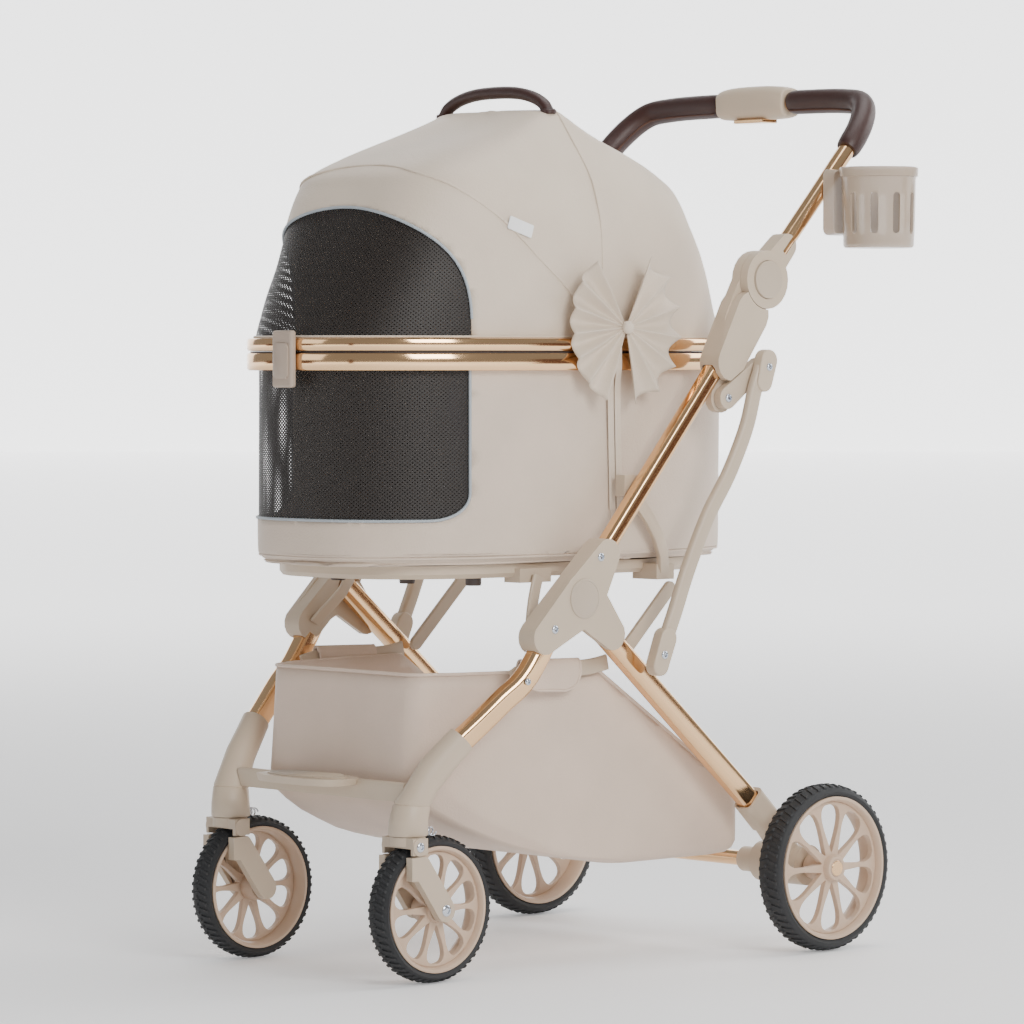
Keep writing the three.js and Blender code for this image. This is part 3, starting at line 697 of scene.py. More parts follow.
def add_screws():
    spots = [
        ("hub_screw_upper", 216.2, -63, 469, 5, "frame"),
        ("hub_screw_lower", 216.2, -134, 390, 5, "frame"),
        ("lever_screw", 221, LEVER_PIVOT[0], LEVER_PIVOT[1], 5, "lever_{side}"),
        ("brace_screw_upper", 235.2, BRACE_TOP[0], BRACE_TOP[1], 4.6, "brace_{side}"),
        ("brace_screw_lower", 234.2, BRACE_FOOT[0], BRACE_FOOT[1], 5, "brace_{side}"),
        ("leg_screw", 211.5, -171, 333, 4, "frame"),
        ("ring_screw", CABIN_HALF + RING_WIDTH, -20, 689, 3.2, "cabin"),
        ("caster_screw", FRONT_WHEEL["x"] + 27.2, -304, 155, 5.5, "caster_{side}"),
        ("front_axle_bolt", FRONT_WHEEL["x"] + 28.2, FRONT_WHEEL["y"], FRONT_WHEEL["radius"], 6.5,
         "caster_{side}"),
    ]
    for name, x, y, z, radius, body in spots:
        screw(name, x, y, z, radius, body)
    for name, x, y, z, radius in (("hub_cap", 216, HUB[0], HUB[1], 22.5),):
        profile = [(radius, -0.5), (radius, 0.9), (radius - 0.8, 1.5), (radius - 2.2, 1.5),
                   (radius - 2.6, 1.1), (radius - 3.2, 1.4), (0.1, 1.7)]
        vertices, faces = turned(profile, (x, y, z), count=56)
        pair(name, vertices, faces, "button", "frame", "beige_plastic", sharp=40)


add_tubes()
add_brace_ends()
add_screws()


# ---------- boots on the front legs ----------
def add_boots():
    stations = [
        ((178.5, -241, 271), 15.5, 17), ((172, -257, 254), 16, 17.5), ((166, -274, 235), 16.5, 18.5),
        ((160.5, -288, 214), 17.5, 20), ((157, -295.5, 200.5), 19, 21.5), ((157, -295.6, 199.3), 18.2, 20.7),
        ((156.9, -296, 198.2), 19.2, 21.7), ((154.5, SWIVEL_Y, 182), 21.2, 22.6), ((154, SWIVEL_Y, 168),
                                                            22, 23),
        ((154, SWIVEL_Y, 166), 21, 22),
    ]
    path = np.array([s[0] for s in stations], float)
    rings = []
    for i, (centre, rx, rn) in enumerate(stations):
        t = path[min(i + 1, len(path) - 1)] - path[max(i - 1, 0)]
        if i >= 3:
            t = np.array([0, -0.1 if i < 7 else 0, -1.0])
        t = t / np.linalg.norm(t)
        a = np.array([1.0, 0, 0]) - t[0] * t
        a /= np.linalg.norm(a)
        b = np.cross(t, a)
        rings.append([np.array(centre) + rx * math.cos(u) * a + rn * math.sin(u) * b
                      for u in np.linspace(0, 2 * math.pi, 40, endpoint=False)])
    vertices, faces = skin(rings)
    pair("front_boot", vertices, faces, "plastic", "frame", "beige_plastic", ["front_socket_{side}"],
         sharp=45)


add_boots()


# ---------- wheels ----------
PETALS = 10


def add_wheel(label, wheel, body, nodes):
    cx, cy, cz, rim, half = wheel["x"], wheel["y"], wheel["radius"], wheel["rim"], wheel["half"]
    outer = wheel["radius"]
    width = wheel["width"] / 2
    # tyre body
    profile = [(rim - 0.5, -width * 0.80), (rim + 2, -width * 0.93), (rim + 5, -width)]
    for i in range(9):
        t = math.radians(-80 + 160 * i / 8)
        profile.append((outer - 7.0 + 5.2 * math.cos(t),
                        (width - 2) * math.sin(t) / math.sin(math.radians(80))))
    profile += [(rim + 5, width), (rim + 2, width * 0.93), (rim - 0.5, width * 0.80)]
    tyre = lathe(profile, (cx, cy, cz), count=96)
    # herringbone tread blocks
    count = 56
    blocks = []
    for i in range(count):
        for hand in (-1, 1):
            base = 2 * math.pi * i / count + (math.pi / count if hand > 0 else 0)
            pts = []
            for lift, grow in ((-1.8, 1.0), (0.0, 0.82)):
                for along, turn in ((0.4, 0.0), (width * 0.80, 0.052), (width * 0.80, 0.098), (0.4, 0.046)):
                    crown = 1.0 - 0.035 * (along / width) ** 2
                    radius = (outer + lift) * crown
                    centre_turn = 0.049
                    t = base + centre_turn + (turn - centre_turn) * grow
                    w = hand * (width * 0.42 + (along - width * 0.42) * grow)
                    pts.append((cx + w, cy + radius * math.cos(t), cz + radius * math.sin(t)))
            blocks.append((pts, [(3, 2, 1, 0), (4, 5, 6, 7), (0, 1, 5, 4), (1, 2, 6, 5), (2, 3, 7, 6), (3,
                                                            0, 4, 7)]))
    vertices, faces = merge_parts(tyre, *blocks)
    pair(f"{label}_tyre_rubber", vertices, faces, "rubber", body, "tyre_rubber", [nodes[1]], sharp=38)
    # rim: barrel with lips
    barrel = [(rim, -half * 0.96), (rim, half * 0.96), (rim - 1.2, half), (rim - 3.4, half),
              (rim - 4.4, half - 1.0), (rim - 6.2, half * 0.62), (rim - 6.8, half * 0.25),
              (rim - 6.8, -half * 0.25), (rim - 6.2,
                                                            -half * 0.62),
              (rim - 4.4, -half + 1.0), (rim - 3.4, -half), (rim - 1.2, -half)]
    parts = [lathe(barrel, (cx, cy, cz), count=96)]
    vertices, faces = merge_parts(*parts)
    pair(f"{label}_rim_barrel", vertices, faces, "rim", body, "rim_plastic", [nodes[0]], sharp=40)
    # web with petal windows, cut in the flat and then thickened
    coords = []
    edges = []

    def loop(points):
        start = len(coords)
        coords.extend(Vector(p) for p in points)
        edges.extend((start + i, start + (i + 1) % len(points)) for i in range(len(points)))

    edge_radius = rim - 6.5
    loop([(edge_radius * math.cos(2 * math.pi * i / 90), edge_radius * math.sin(2 * math.pi * i / 90))
          for i in range(90)])
    windows = []
    inner, far = 17.5, rim - 9.5
    for k in range(PETALS):
        middle = 2 * math.pi * (k + 0.5) / PETALS
        half_turn = math.pi / PETALS
        points = []
        for i in range(26):
            u = 2 * math.pi * i / 26
            reach = (1 - math.cos(u)) / 2
            radius = inner + (far - inner) * reach ** 0.9
            rib = 2.1 + 1.4 * (1 - reach)
            spread = max(0.0, half_turn - rib / radius)
            shape = min(1.0, abs(math.sin(u)) ** 0.62)
            points.append((radius * math.cos(middle + math.copysign(spread * shape, math.sin(u))),
                           radius * math.sin(middle + math.copysign(spread * shape, math.sin(u)))))
        windows.append(points)
        loop(points)
    result = delaunay_2d_cdt(coords, edges, [], 0, 1e-5)
    flat, triangles = result[0], result[2]

    def in_window(p):
        for points in windows:
            inside = False
            j = len(points) - 1
            for i in range(len(points)):
                (x1, y1), (x2, y2) = points[i], points[j]
                if (y1 > p[1]) != (y2 > p[1]) and p[0] < (x2 - x1) * (p[1] - y1) / (y2 - y1) + x1:
                    inside = not inside
                j = i
            if inside:
                return True
        return False

    kept = []
    for tri in triangles:
        centre = sum((flat[i] for i in tri), Vector((0, 0))) / 3
        if centre.length < edge_radius and not in_window(centre):
            kept.append(tri)
    dish = 0.55 * half
    web_vertices = [(cx + dish * (1 - 0.35 * (v.length / edge_radius)), cy + v.x, cz + v.y) for v in flat]
    for side_name, sign in SIDES:
        points = web_vertices if sign > 0 else mirrored(web_vertices)
        web = piece(f"{label}_rim_web_{side_name}", points, kept, "rim", body.format(side=side_name),
                    "rim_plastic",
                    solidify=(7.5, 0), bevel=0.9)
        clean = bmesh.new()
        clean.from_mesh(web.data)
        bmesh.ops.delete(clean, geom=[v for v in clean.verts if not v.link_faces], context="VERTS")
        bmesh.ops.recalc_face_normals(clean, faces=clean.faces)
        clean.to_mesh(web.data)
        clean.free()
    # hub disc and cap
    reach = half + (3 if label == "rear" else 0.5)
    hub = [(15, -reach + 2), (15, reach - 2), (13.6, reach), (10.6, reach), (10.2, reach - 0.7),
           (9.7, reach + 0.3), (0.1, reach + 0.6)]
    hub = [(0.1, -reach), (13.5, -reach)] + hub
    vertices, faces = turned(hub, (cx, cy, cz), count=48)
    pair(f"{label}_hub_cap", vertices, faces, "rim", body, "rim_plastic", sharp=40)


add_wheel("rear", REAR_WHEEL, "rear_wheel_{side}", ("rear_rim_{side}", "rear_tyre_{side}"))
add_wheel("front", FRONT_WHEEL, "front_wheel_{side}", ("front_rim_{side}", "front_tyre_{side}"))


# ---------- push handle ----------
def handle_line():
    half = [(209, 200, 784), (209, 251, 838), (209, 323, 915), (206, 368, 962), (186, 398, 993),
            (150, 407, 1001), (70, 408, 1003)]
    return smooth_path(mirrored(half) + half[::-1], 240)


def wrap_profile(t):
    """The sleeve is a little fuller in the middle and tucks in at its ends."""
    return 1 - 0.12 * math.exp(-t / 0.02) - 0.12 * math.exp(-(1 - t) / 0.02)


def add_handle():
    line = handle_line()
    side = (0, -0.707, 0.707)
    vertices, faces = sweep(line[10:230], round_section(10, 28), side)
    piece("handle_tube_metal", vertices, faces, "gold", "handle", "champagne_tube", ["handle_tube"],
          sharp=60)
    first, last = 52, 106
    for side_name, stretch in (("right", line[first:last]), ("left", line[240 - last:240 - first][::-1])):
        section = [(1.02 * a, 0.95 * b) for a, b in round_section(15, 32)]
        vertices, faces = sweep(stretch, section, side, scale=wrap_profile)
        piece(f"handle_sleeve_{side_name}", vertices, faces, "brown", "handle", "brown_leather",
              [f"handle_wrap_{side_name}"], sharp=60)
        stitches = []
        path = np.array(stretch)
        for i in range(2, len(path) - 2):
            for part in (0.0, 0.5):
                centre = path[i] * (1 - part) + path[i + 1] * part
                t = path[i + 1] - path[i]
                t /= np.linalg.norm(t)
                n = np.array(side, float)
                out = np.cross(t, n)
                if out[2] + out[1] > 0:
                    out = -out
                spot = centre + 14.6 * out
                stitches.append(sweep([spot - 1.3 * t - 1.2 * n, spot + 1.3 * t + 1.2 * n],
                                      round_section(0.55, 6),
                                      tuple(out)))
        vertices, faces = merge_parts(*stitches)
        piece(f"sleeve_stitches_{side_name}", vertices, faces, "stitch", "handle", "brown_leather")
    # centre grip: a moulded shell, fuller in the middle
    grip = [(-57, 409, 1003), (-30, 410, 1004), (0, 410.5, 1004), (30, 410, 1004), (57, 409, 1003)]
    section = [(a, b * 0.92) for a, b in rounded_section(41, 44, 15, 8)]
    vertices, faces = sweep(smooth_path(grip, 30), section, (0, 1, 0),
                            scale=lambda t: 1 - 0.14 * abs(2 * t - 1) ** 6 - 0.03 * math.cos(2 * math.pi * t))
    piece("centre_grip_shell", vertices, faces, "plastic", "handle", "beige_plastic", ["centre_grip"],
          bevel=2,
          sharp=45)


add_handle()


# ---------- surfaces of the cabin ----------
CANOPY_ROWS = [
    (700, 167.5, -334, 268, 2.8), (716, 167, -336, 267, 2.8), (760, 167.3, -317, 250, 2.9), (806, 167,
                                                            -293, 230, 3),
    (848, 164, -269, 195, 3.5), (883, 155, -250, 168, 4), (903, 146, -236, 143, 4), (924, 132, -189, 107, 4),
    (950, 113, -113, 45, 4), (971, 97, -58, 8, 3.5), (977, 88, -46, 0, 3), (979, 60, -38, -8, 2.6),
    (979.5, 4, -22, -18, 2),
]
TUB_ROWS = [
    (462, 4, -33, -29, 2), (461.8, 80, -180, 118, 2.6), (462, 150, -312, 250, 2.8), (465, 160, -322, 260,
                                                            2.8),
    (471, 165.5, -328, 266, 2.8), (482, 167.5, -330, 268, 2.8), (560, 167.5, -330, 268, 2.8),
    (640, 167.5, -330, 268, 2.8), (699, 167.5, -330, 268, 2.8),
]


class Surface:
    """A closed skin given by rows of (z, half width, front, rear, exponent), met at a polar angle."""

    def __init__(self, rows, centre):
        self.rows = np.array(smooth_rows(rows))
        self.centre = centre

    def height(self, z):
        """The row position whose height is z."""
        zs = self.rows[:, 0]
        for i in range(len(zs) - 1):
            if zs[i] <= z <= zs[i + 1] and zs[i + 1] - zs[i] > 1e-6:
                return i + (z - zs[i]) / (zs[i + 1] - zs[i])
        return len(zs) - 1.0

    def point(self, psi, v, lift=0.0):
        p = self._raw(psi, v)
        if not lift:
            return p
        du = self._raw(psi + 0.01, v) - self._raw(psi - 0.01, v)
        lo, hi = max(v - 0.3, 0), min(v + 0.3, len(self.rows) - 1)
        dv = self._raw(psi, hi) - self._raw(psi, lo)
        n = np.cross(du, dv)
        length = np.linalg.norm(n)
        if length < 1e-9:
            return p + np.array([0, 0, lift])
        return p + lift * n / length

    def _raw(self, psi, v):
        i = min(int(v), len(self.rows) - 2)
        t = v - i
        z, half, front, rear, n = self.rows[i] * (1 - t) + self.rows[i + 1] * t
        s, c = math.sin(psi), -math.cos(psi)
        reach = self.centre - front if c < 0 else rear - self.centre
        reach = max(reach, 0.5)
        r = ((abs(s) / half) ** n + (abs(c) / reach) ** n) ** (-1 / n)
        return np.array([r * s, self.centre + r * c, z])


def smooth_rows(rows, per=6):
    """Catmull-Rom rows between the given ones."""
    p = np.array(rows, float)
    p = np.vstack([2 * p[0] - p[1], p, 2 * p[-1] - p[-2]])
    out = []
    for k in range(1, len(p) - 2):
        for i in range(per):
            t = i / per
            a, b, c, d = p[k - 1], p[k], p[k + 1], p[k + 2]
            out.append(0.5 * (2 * b + (c - a) * t + (2 * a - 5 * b + 4 * c - d) * t * t
                              + (3 * b - a - 3 * c + d) * t ** 3))
    out.append(p[-2])
    fine = np.array(out)
    fine[:, 1] = np.maximum(fine[:, 1], 1)
    fine[:, 4] = np.maximum(fine[:, 4], 2)
    return fine


CANOPY = Surface(CANOPY_ROWS, CANOPY_Y)
TUB = Surface(TUB_ROWS, CABIN_Y)


def inside_outline(outline, p):
    inside = False
    j = len(outline) - 1
    for i in range(len(outline)):
        (x1, y1), (x2, y2) = outline[i], outline[j]
        if (y1 > p[1]) != (y2 > p[1]) and p[0] < (x2 - x1) * (p[1] - y1) / (y2 - y1) + x1:
            inside = not inside
        j = i
    return inside


SPREAD = 200.0  # millimetres of arc for one radian, so that both map directions are alike


def cut_panel(surface, rows, outline, keep_inside, wave, lift=0.0):
    """Vertices, faces and uvs of a surface inside or outside an outline of (psi, v) points.

    rows is the (first, last) row position, and wave(psi, v) adds soft unevenness along the normal."""
    row_unit = 7.0
    points = []
    turns = np.linspace(-math.pi, math.pi, 121)
    levels = np.linspace(rows[0], rows[1], int((rows[1] - rows[0]) * 2) + 1)
    scaled = [(psi * SPREAD, v * row_unit) for psi, v in outline]
    for psi in turns:
        for v in levels:
            p = (psi * SPREAD, v * row_unit)
            near = min((p[0] - q[0]) ** 2 + (p[1] - q[1]) ** 2 for q in scaled)
            if near > 3.2 ** 2 or psi in (turns[0], turns[-1]):
                points.append(Vector(p))
    first = len(points)
    points.extend(Vector(q) for q in scaled)
    edges = [(first + i, first + (i + 1) % len(scaled)) for i in range(len(scaled))]
    result = delaunay_2d_cdt(points, edges, [], 0, 1e-6)
    flat, triangles = result[0], result[2]
    kept = []
    for tri in triangles:
        centre = sum((flat[i] for i in tri), Vector((0, 0))) / 3
        if inside_outline(scaled, centre) == keep_inside:
            kept.append(tuple(tri))
    used = sorted({i for tri in kept for i in tri})
    index = {old: new for new, old in enumerate(used)}
    vertices, uvs = [], []
    for i in used:
        psi, v = flat[i].x / SPREAD, flat[i].y / row_unit
        v = min(max(v, rows[0]), rows[1])
        p = surface.point(psi, v, lift + wave(psi, v))
        vertices.append(tuple(p))
        uvs.append((psi * 0.2, p[2] / 1000))
    return vertices, [tuple(index[i] for i in tri) for tri in kept], uvs


def soft_wave(amount, scale, seed):
    """Slow, gentle unevenness of stretched fabric, the same each run."""
    def wave(psi, v):
        a = math.sin(3.1 * psi * scale + seed) * math.sin(0.21 * v * scale + 1.3 * seed)
        b = math.sin(7.3 * psi * scale + 2.1 * seed + 0.35 * v)
        return amount * (0.65 * a + 0.35 * b)
    return wave


def surface_line(surface, outline, radius, lift=0.6, closed=False, count=160, edges=12):
    """A round bead that follows (psi, v) points on a surface."""
    path = smooth_path([surface.point(psi, v, lift) for psi, v in outline], count, closed)
    normals = []
    for p in path:
        n = np.array([p[0] * 1.6, p[1] - surface.centre, 0.0])
        normals.append(n / max(np.linalg.norm(n), 1e-6))
    rings = []
    ahead = np.roll(path, -1, 0) - np.roll(path, 1, 0)
    if not closed:
        ahead[0], ahead[-1] = path[1] - path[0], path[-1] - path[-2]
    for p, t, n in zip(path, ahead, normals):
        t = t / max(np.linalg.norm(t), 1e-9)
        a = n - np.dot(n, t) * t
        a /= max(np.linalg.norm(a), 1e-9)
        b = np.cross(t, a)
        rings.append([p + radius * (math.cos(u) * a + math.sin(u) * b)
                      for u in np.linspace(0, 2 * math.pi, edges, endpoint=False)])
    return skin(rings, closed)


CANOPY_LOW = CANOPY.height(716.2)
CANOPY_TOP = len(CANOPY.rows) - 1.0
TUB_TOP = len(TUB.rows) - 1.0
WINDOW_HALF = math.radians(40)


def canopy_window():
    """An arched opening from the ring up to the visor."""
    points = []
    for i in range(61):
        angle = math.pi / 2 * (-1 + 2 * i / 60)
        z = 716.2 + (863 - 716.2) * abs(math.cos(angle)) ** 0.667
        points.append((WINDOW_HALF * math.sin(angle), CANOPY.height(z)))
    return points


def tub_window():
    """A rectangular opening from the lower ring down, with rounded lower corners."""
    half, low = math.radians(41.3), 512.0
    round_psi, round_z = math.radians(9.5), 30.0
    right = []
    for i in range(11):
        t = math.pi / 2 * i / 10
        z = low + round_z * (1 - math.sin(t))
        right.append((half - round_psi * (1 - math.cos(t)), TUB.height(z)))
    right = [(half, TUB.height(z)) for z in np.linspace(699, low + round_z + 8, 14)] + right
    base = [(psi, TUB.height(low)) for psi in np.linspace(half - round_psi, -half + round_psi, 26)[1:-1]]
    return right + base + [(-psi, v) for psi, v in reversed(right)]


def visor_line():
    """The visor's rear edge, from the bow on one side over the front to the other."""
    half = [(0, 911), (12, 909), (24, 900), (35, 884), (49, 846), (63, 800), (72, 776), (80, 750), (84, 728)]
    points = [(math.radians(a), CANOPY.height(z)) for a, z in half]
    return [(-psi, v) for psi, v in points[:0:-1]] + points


def add_canopy():
    wave = soft_wave(0.9, 1.0, 0.7)
    window = canopy_window()
    low, high = CANOPY_LOW, CANOPY_TOP
    vertices, faces, uvs = cut_panel(CANOPY, (low, high), window, False, wave)
    shell = piece("canopy_cover", vertices, faces, "canopy", "canopy", "canopy_fabric", ["canopy_shell"],
                  solidify=(2.6, -1), uvs=uvs)
    weld(shell)
    # net behind the opening
    vertices, faces, uvs = cut_panel(CANOPY, (low, high), window, True, soft_wave(0.5, 1.0, 0.7), lift=-1.2)
    net_sheet = piece("canopy_net", vertices, faces, "net", "canopy", "cushion_fabric", uvs=uvs)
    weld(net_sheet)
    made = surface_line(CANOPY, window[1:-1], 1.7, 0.5)
    piece("canopy_window_piping", *made, "window_piping", "canopy", "canopy_fabric", sharp=60)
    made = surface_line(CANOPY, visor_line(), 1.3, 0.5, count=220)
    piece("visor_piping", *made, "canopy", "canopy", "canopy_fabric", sharp=60)
    for side_name, sign in SIDES:
        rib = [(sign * math.radians(92), v) for v in np.linspace(low, CANOPY.height(976), 30)]
        made = surface_line(CANOPY, rib, 1.3, 0.3)
        piece(f"rib_seam_{side_name}", *made, "canopy", "canopy", "canopy_fabric", sharp=60)
    hem = [(psi, low + 0.1) for psi in np.linspace(-math.pi, math.pi, 90, endpoint=False)]
    made = surface_line(CANOPY, hem, 1.5, 0.2, closed=True, count=240)
    piece("canopy_hem", *made, "canopy", "canopy", "canopy_fabric", sharp=60)


def weld(obj):
    """Joins the seam at the back and turns all faces outward."""
    clean = bmesh.new()
    clean.from_mesh(obj.data)
    bmesh.ops.remove_doubles(clean, verts=clean.verts, dist=5e-5)
    bmesh.ops.delete(clean, geom=[v for v in clean.verts if not v.link_faces], context="VERTS")
    bmesh.ops.recalc_face_normals(clean, faces=clean.faces)
    centre = sum((v.co for v in clean.verts), Vector()) / len(clean.verts)
    outward = sum((1 if f.normal.dot(f.calc_center_median() - centre) > 0 else -1) for f in clean.faces)
    if outward < 0:
        bmesh.ops.reverse_faces(clean, faces=clean.faces)
    for face in clean.faces:
        face.smooth = True
    clean.to_mesh(obj.data)
    clean.free()


def add_tub():
    wave = soft_wave(0.8, 1.0, 1.9)
    window = tub_window()
    vertices, faces, uvs = cut_panel(TUB, (0.0, TUB_TOP), window, False, wave)
    shell = piece("cabin_cover", vertices, faces, "cabin", "cabin", "cabin_fabric", ["cabin_tub"],
                  solidify=(2.6, -1), uvs=uvs)
    weld(shell)
    vertices, faces, uvs = cut_panel(TUB, (0.0, TUB_TOP), window, True, soft_wave(0.5, 1.0, 1.9), lift=-1.2)
    net_sheet = piece("cabin_net", vertices, faces, "net", "cabin", "cushion_fabric", uvs=uvs)
    weld(net_sheet)
    upright = [p for p in window if p[1] < TUB_TOP - 0.01]
    made = surface_line(TUB, upright, 1.7, 0.5, count=240)
    piece("cabin_window_piping", *made, "window_piping", "cabin", "cabin_fabric", sharp=60)
    hem = [(psi, TUB.height(470)) for psi in np.linspace(-math.pi, math.pi, 90, endpoint=False)]
    made = surface_line(TUB, hem, 1.5, 0.4, closed=True, count=240)
    piece("cabin_hem", *made, "cabin", "cabin", "cabin_fabric", sharp=60)
    for side_name, sign in SIDES:
        rib = [(sign * math.radians(100), TUB.height(z)) for z in np.linspace(474, 678, 24)]
        made = surface_line(TUB, rib, 1.0, 0.2)
        piece(f"cabin_seam_{side_name}", *made, "cabin", "cabin", "cabin_fabric", sharp=60)


def ring_band(name, low, high, inner, body, node_name):
    """A polished extrusion round the cabin with a softly crowned outer face."""
    ring_loft(name, ring_section(low, high, inner), "gold", body, "champagne_tube", [node_name])


def ring_section(low, high, inner):
    return [(inner, low + 1), (inner, high - 1), (inner + 1, high), (RING_WIDTH - 3, high),
               (RING_WIDTH - 1.2, high - 0.6), (RING_WIDTH - 0.2, high - 2.4), (RING_WIDTH,
                                                            (low + high) / 2),
               (RING_WIDTH - 0.2, low + 2.4), (RING_WIDTH - 1.2, low + 0.6), (RING_WIDTH - 3,
                                                            low), (inner + 1, low)]


def ring_loft(name, section, material, body, slot, replaces=()):
    v = TUB.height(640)
    rings = []
    for i in range(180):
        psi = 2 * math.pi * i / 180
        base, away = TUB.point(psi, v), TUB.point(psi, v, 10.0)
        out = (away - base) / 10
        rings.append([(*(base + out * reach)[:2], z) for reach, z in section])
    vertices, faces = skin(rings, closed=True)
    piece(name, vertices, faces, material, body, slot, replaces, sharp=35)


def add_rings():
    ring_band("lower_ring_metal", *LOWER_RING, 0.4, "cabin", "lower_ring")
    ring_band("upper_ring_metal", *UPPER_RING, -3, "canopy", "upper_ring")
    seal = [(0, 698.6), (0, 700.7), (RING_WIDTH - 4, 700.7), (RING_WIDTH - 4, 698.6)]
    ring_loft("ring_seal", seal, "dark", "cabin", "cabin_fabric")


CUSHION_SEAMS = (-190, -110, -30, 50, 130)


def inflate(pad, seams, cap):
    """Blows a padded cover up with cloth, held along its edge and its sewn cross seams."""
    remesh = pad.modifiers.new("even", "REMESH")
    remesh.mode = "VOXEL"
    remesh.voxel_size = 0.006
    apply_modifiers(pad)
    before = [v.co.copy() for v in pad.data.vertices]
    middle = (at(0, 0, 491)).z
    held = pad.vertex_groups.new(name="sewn")
    for vertex in pad.data.vertices:
        y = (vertex.co - SHIFT).y * 1000
        at_seam = min(abs(y - seam) for seam in seams) < 3.2
        if at_seam or abs(vertex.co.z - middle) < 0.0045:
            held.add([vertex.index], 1.0, "REPLACE")
    cloth = pad.modifiers.new("cloth", "CLOTH")
    cloth.settings.quality = 5
    cloth.settings.vertex_group_mass = "sewn"
    cloth.settings.use_pressure = True
    cloth.settings.uniform_pressure_force = 4.0
    cloth.settings.effector_weights.gravity = 0.0
    cloth.collision_settings.use_collision = False
    for step in range(1, 21):
        bpy.context.scene.frame_set(step)
    apply_modifiers(pad)
    bpy.context.scene.frame_set(1)
    for vertex, start in zip(pad.data.vertices, before):
        move = vertex.co - start
        if move.length > cap:
            vertex.co = start + move * (cap / move.length)
    pad.vertex_groups.clear()
    for polygon in pad.data.polygons:
        polygon.use_smooth = True


def add_cushion():
    rows = [(475.4, 4, -33, -29, 2), (475.6, 120, -270, 208, 2.6), (477, 143, -305, 243, 2.8),
            (483, 149, -311, 249, 2.8), (491, 151, -313, 251, 2.8), (497, 149, -311, 249, 2.8),
            (502, 140, -300, 238, 2.8), (504, 90, -200, 140, 2.6), (504.4, 4, -33, -29, 2)]
    surface = Surface(rows, CABIN_Y)
    rings = []
    for v in np.linspace(0, len(surface.rows) - 1, 40):
        rings.append([surface.point(2 * math.pi * i / 96, v) for i in range(96)])
    vertices, faces = skin(rings)
    pad = piece("cushion_pad", vertices, faces, "cushion", "cabin", "cushion_fabric", ["cushion"])
    inflate(pad, CUSHION_SEAMS, 0.005)
    edge = [surface.point(psi, surface.height(491), 1.0) for psi in np.linspace(0, 2 * math.pi, 120,
                                                            endpoint=False)]
    made = sweep(edge, round_section(1.8, 10), (0.02, 0.03, 1), closed=True)
    piece("cushion_piping", *made, "lining", "cabin", "cushion_fabric", sharp=60)


def add_carry_handle():
    arch = [(-89, -26, 976), (-80, -26, 986), (-58, -26, 995), (-25, -26, 1000), (25, -26, 1000),
            (58, -26, 995), (80, -26, 986), (89, -26, 976)]
    section = [(a * 1.25, b) for a, b in round_section(7, 20)]
    vertices, faces = sweep(smooth_path(arch, 60), section, (0, 1, 0),
                            scale=lambda t: 0.92 + 0.12 * math.sin(math.pi * t))
    piece("carry_handle_leather", vertices, faces, "brown", "canopy", "brown_leather", ["carry_handle"],
          sharp=60)
    for side_name, sign in SIDES:
        base = turned([(8.5, -3.0), (9.5, -2.0), (9.5, 1.5), (8.0, 3.0), (0.1, 3.4)],
                      (sign * 89, -26, 976), "z", 28)
        piece(f"carry_mount_{side_name}", *base, "brown", "canopy", "brown_leather", sharp=40)


# ---------- basket ----------
def basket_front(z):
    """Where the basket's front edge is at a height: straight above its bend, curving under below it."""
    bend_y, bend_z, top_y = -274, 206, -262
    if z >= bend_z:
        return bend_y + (top_y - bend_y) * (z - bend_z) / 132

    def height(t):
        return (1 - t) ** 2 * bend_z + 2 * t * (1 - t) * 128 + t * t * 117

    t = min(np.linspace(0, 1, 60), key=lambda step: abs(height(step) - z))
    return (1 - t) ** 2 * bend_y + 2 * t * (1 - t) * -170


def basket_half(y):
    return 167 - 38 * min(max((-110 - y) / 160, 0), 1)


def basket_ring(z, inset):
    front, rear = basket_front(z) + inset, 217 - inset - max(0, 130 - z) * 0.2
    corner = 24
    rear_half, front_half = basket_half(rear) - inset, basket_half(front) - inset
    half = [(x, front) for x in np.linspace(0, front_half - corner, 7)[:-1]]
    for i in range(6):
        t = math.pi / 2 * i / 5
        half.append((front_half - corner + corner * math.sin(t), front + corner * (1 - math.cos(t))))
    for y in np.linspace(front + corner, rear - corner, 24)[1:-1]:
        bulge = 2.5 * math.sin(math.pi * (y - front) / (rear - front)) * math.sin(math.pi * (z - 110) / 260)
        half.append((basket_half(y) - inset + bulge, y))
    for i in range(6):
        t = math.pi / 2 * i / 5
        half.append((rear_half - corner * (1 - math.cos(t)), rear - corner + corner * math.sin(t)))
    half += [(x, rear) for x in np.linspace(rear_half - corner, 0, 7)[1:]]
    return [(x, y, z) for x, y in half] + [(-x, y, z) for x, y in half[-2:0:-1]]


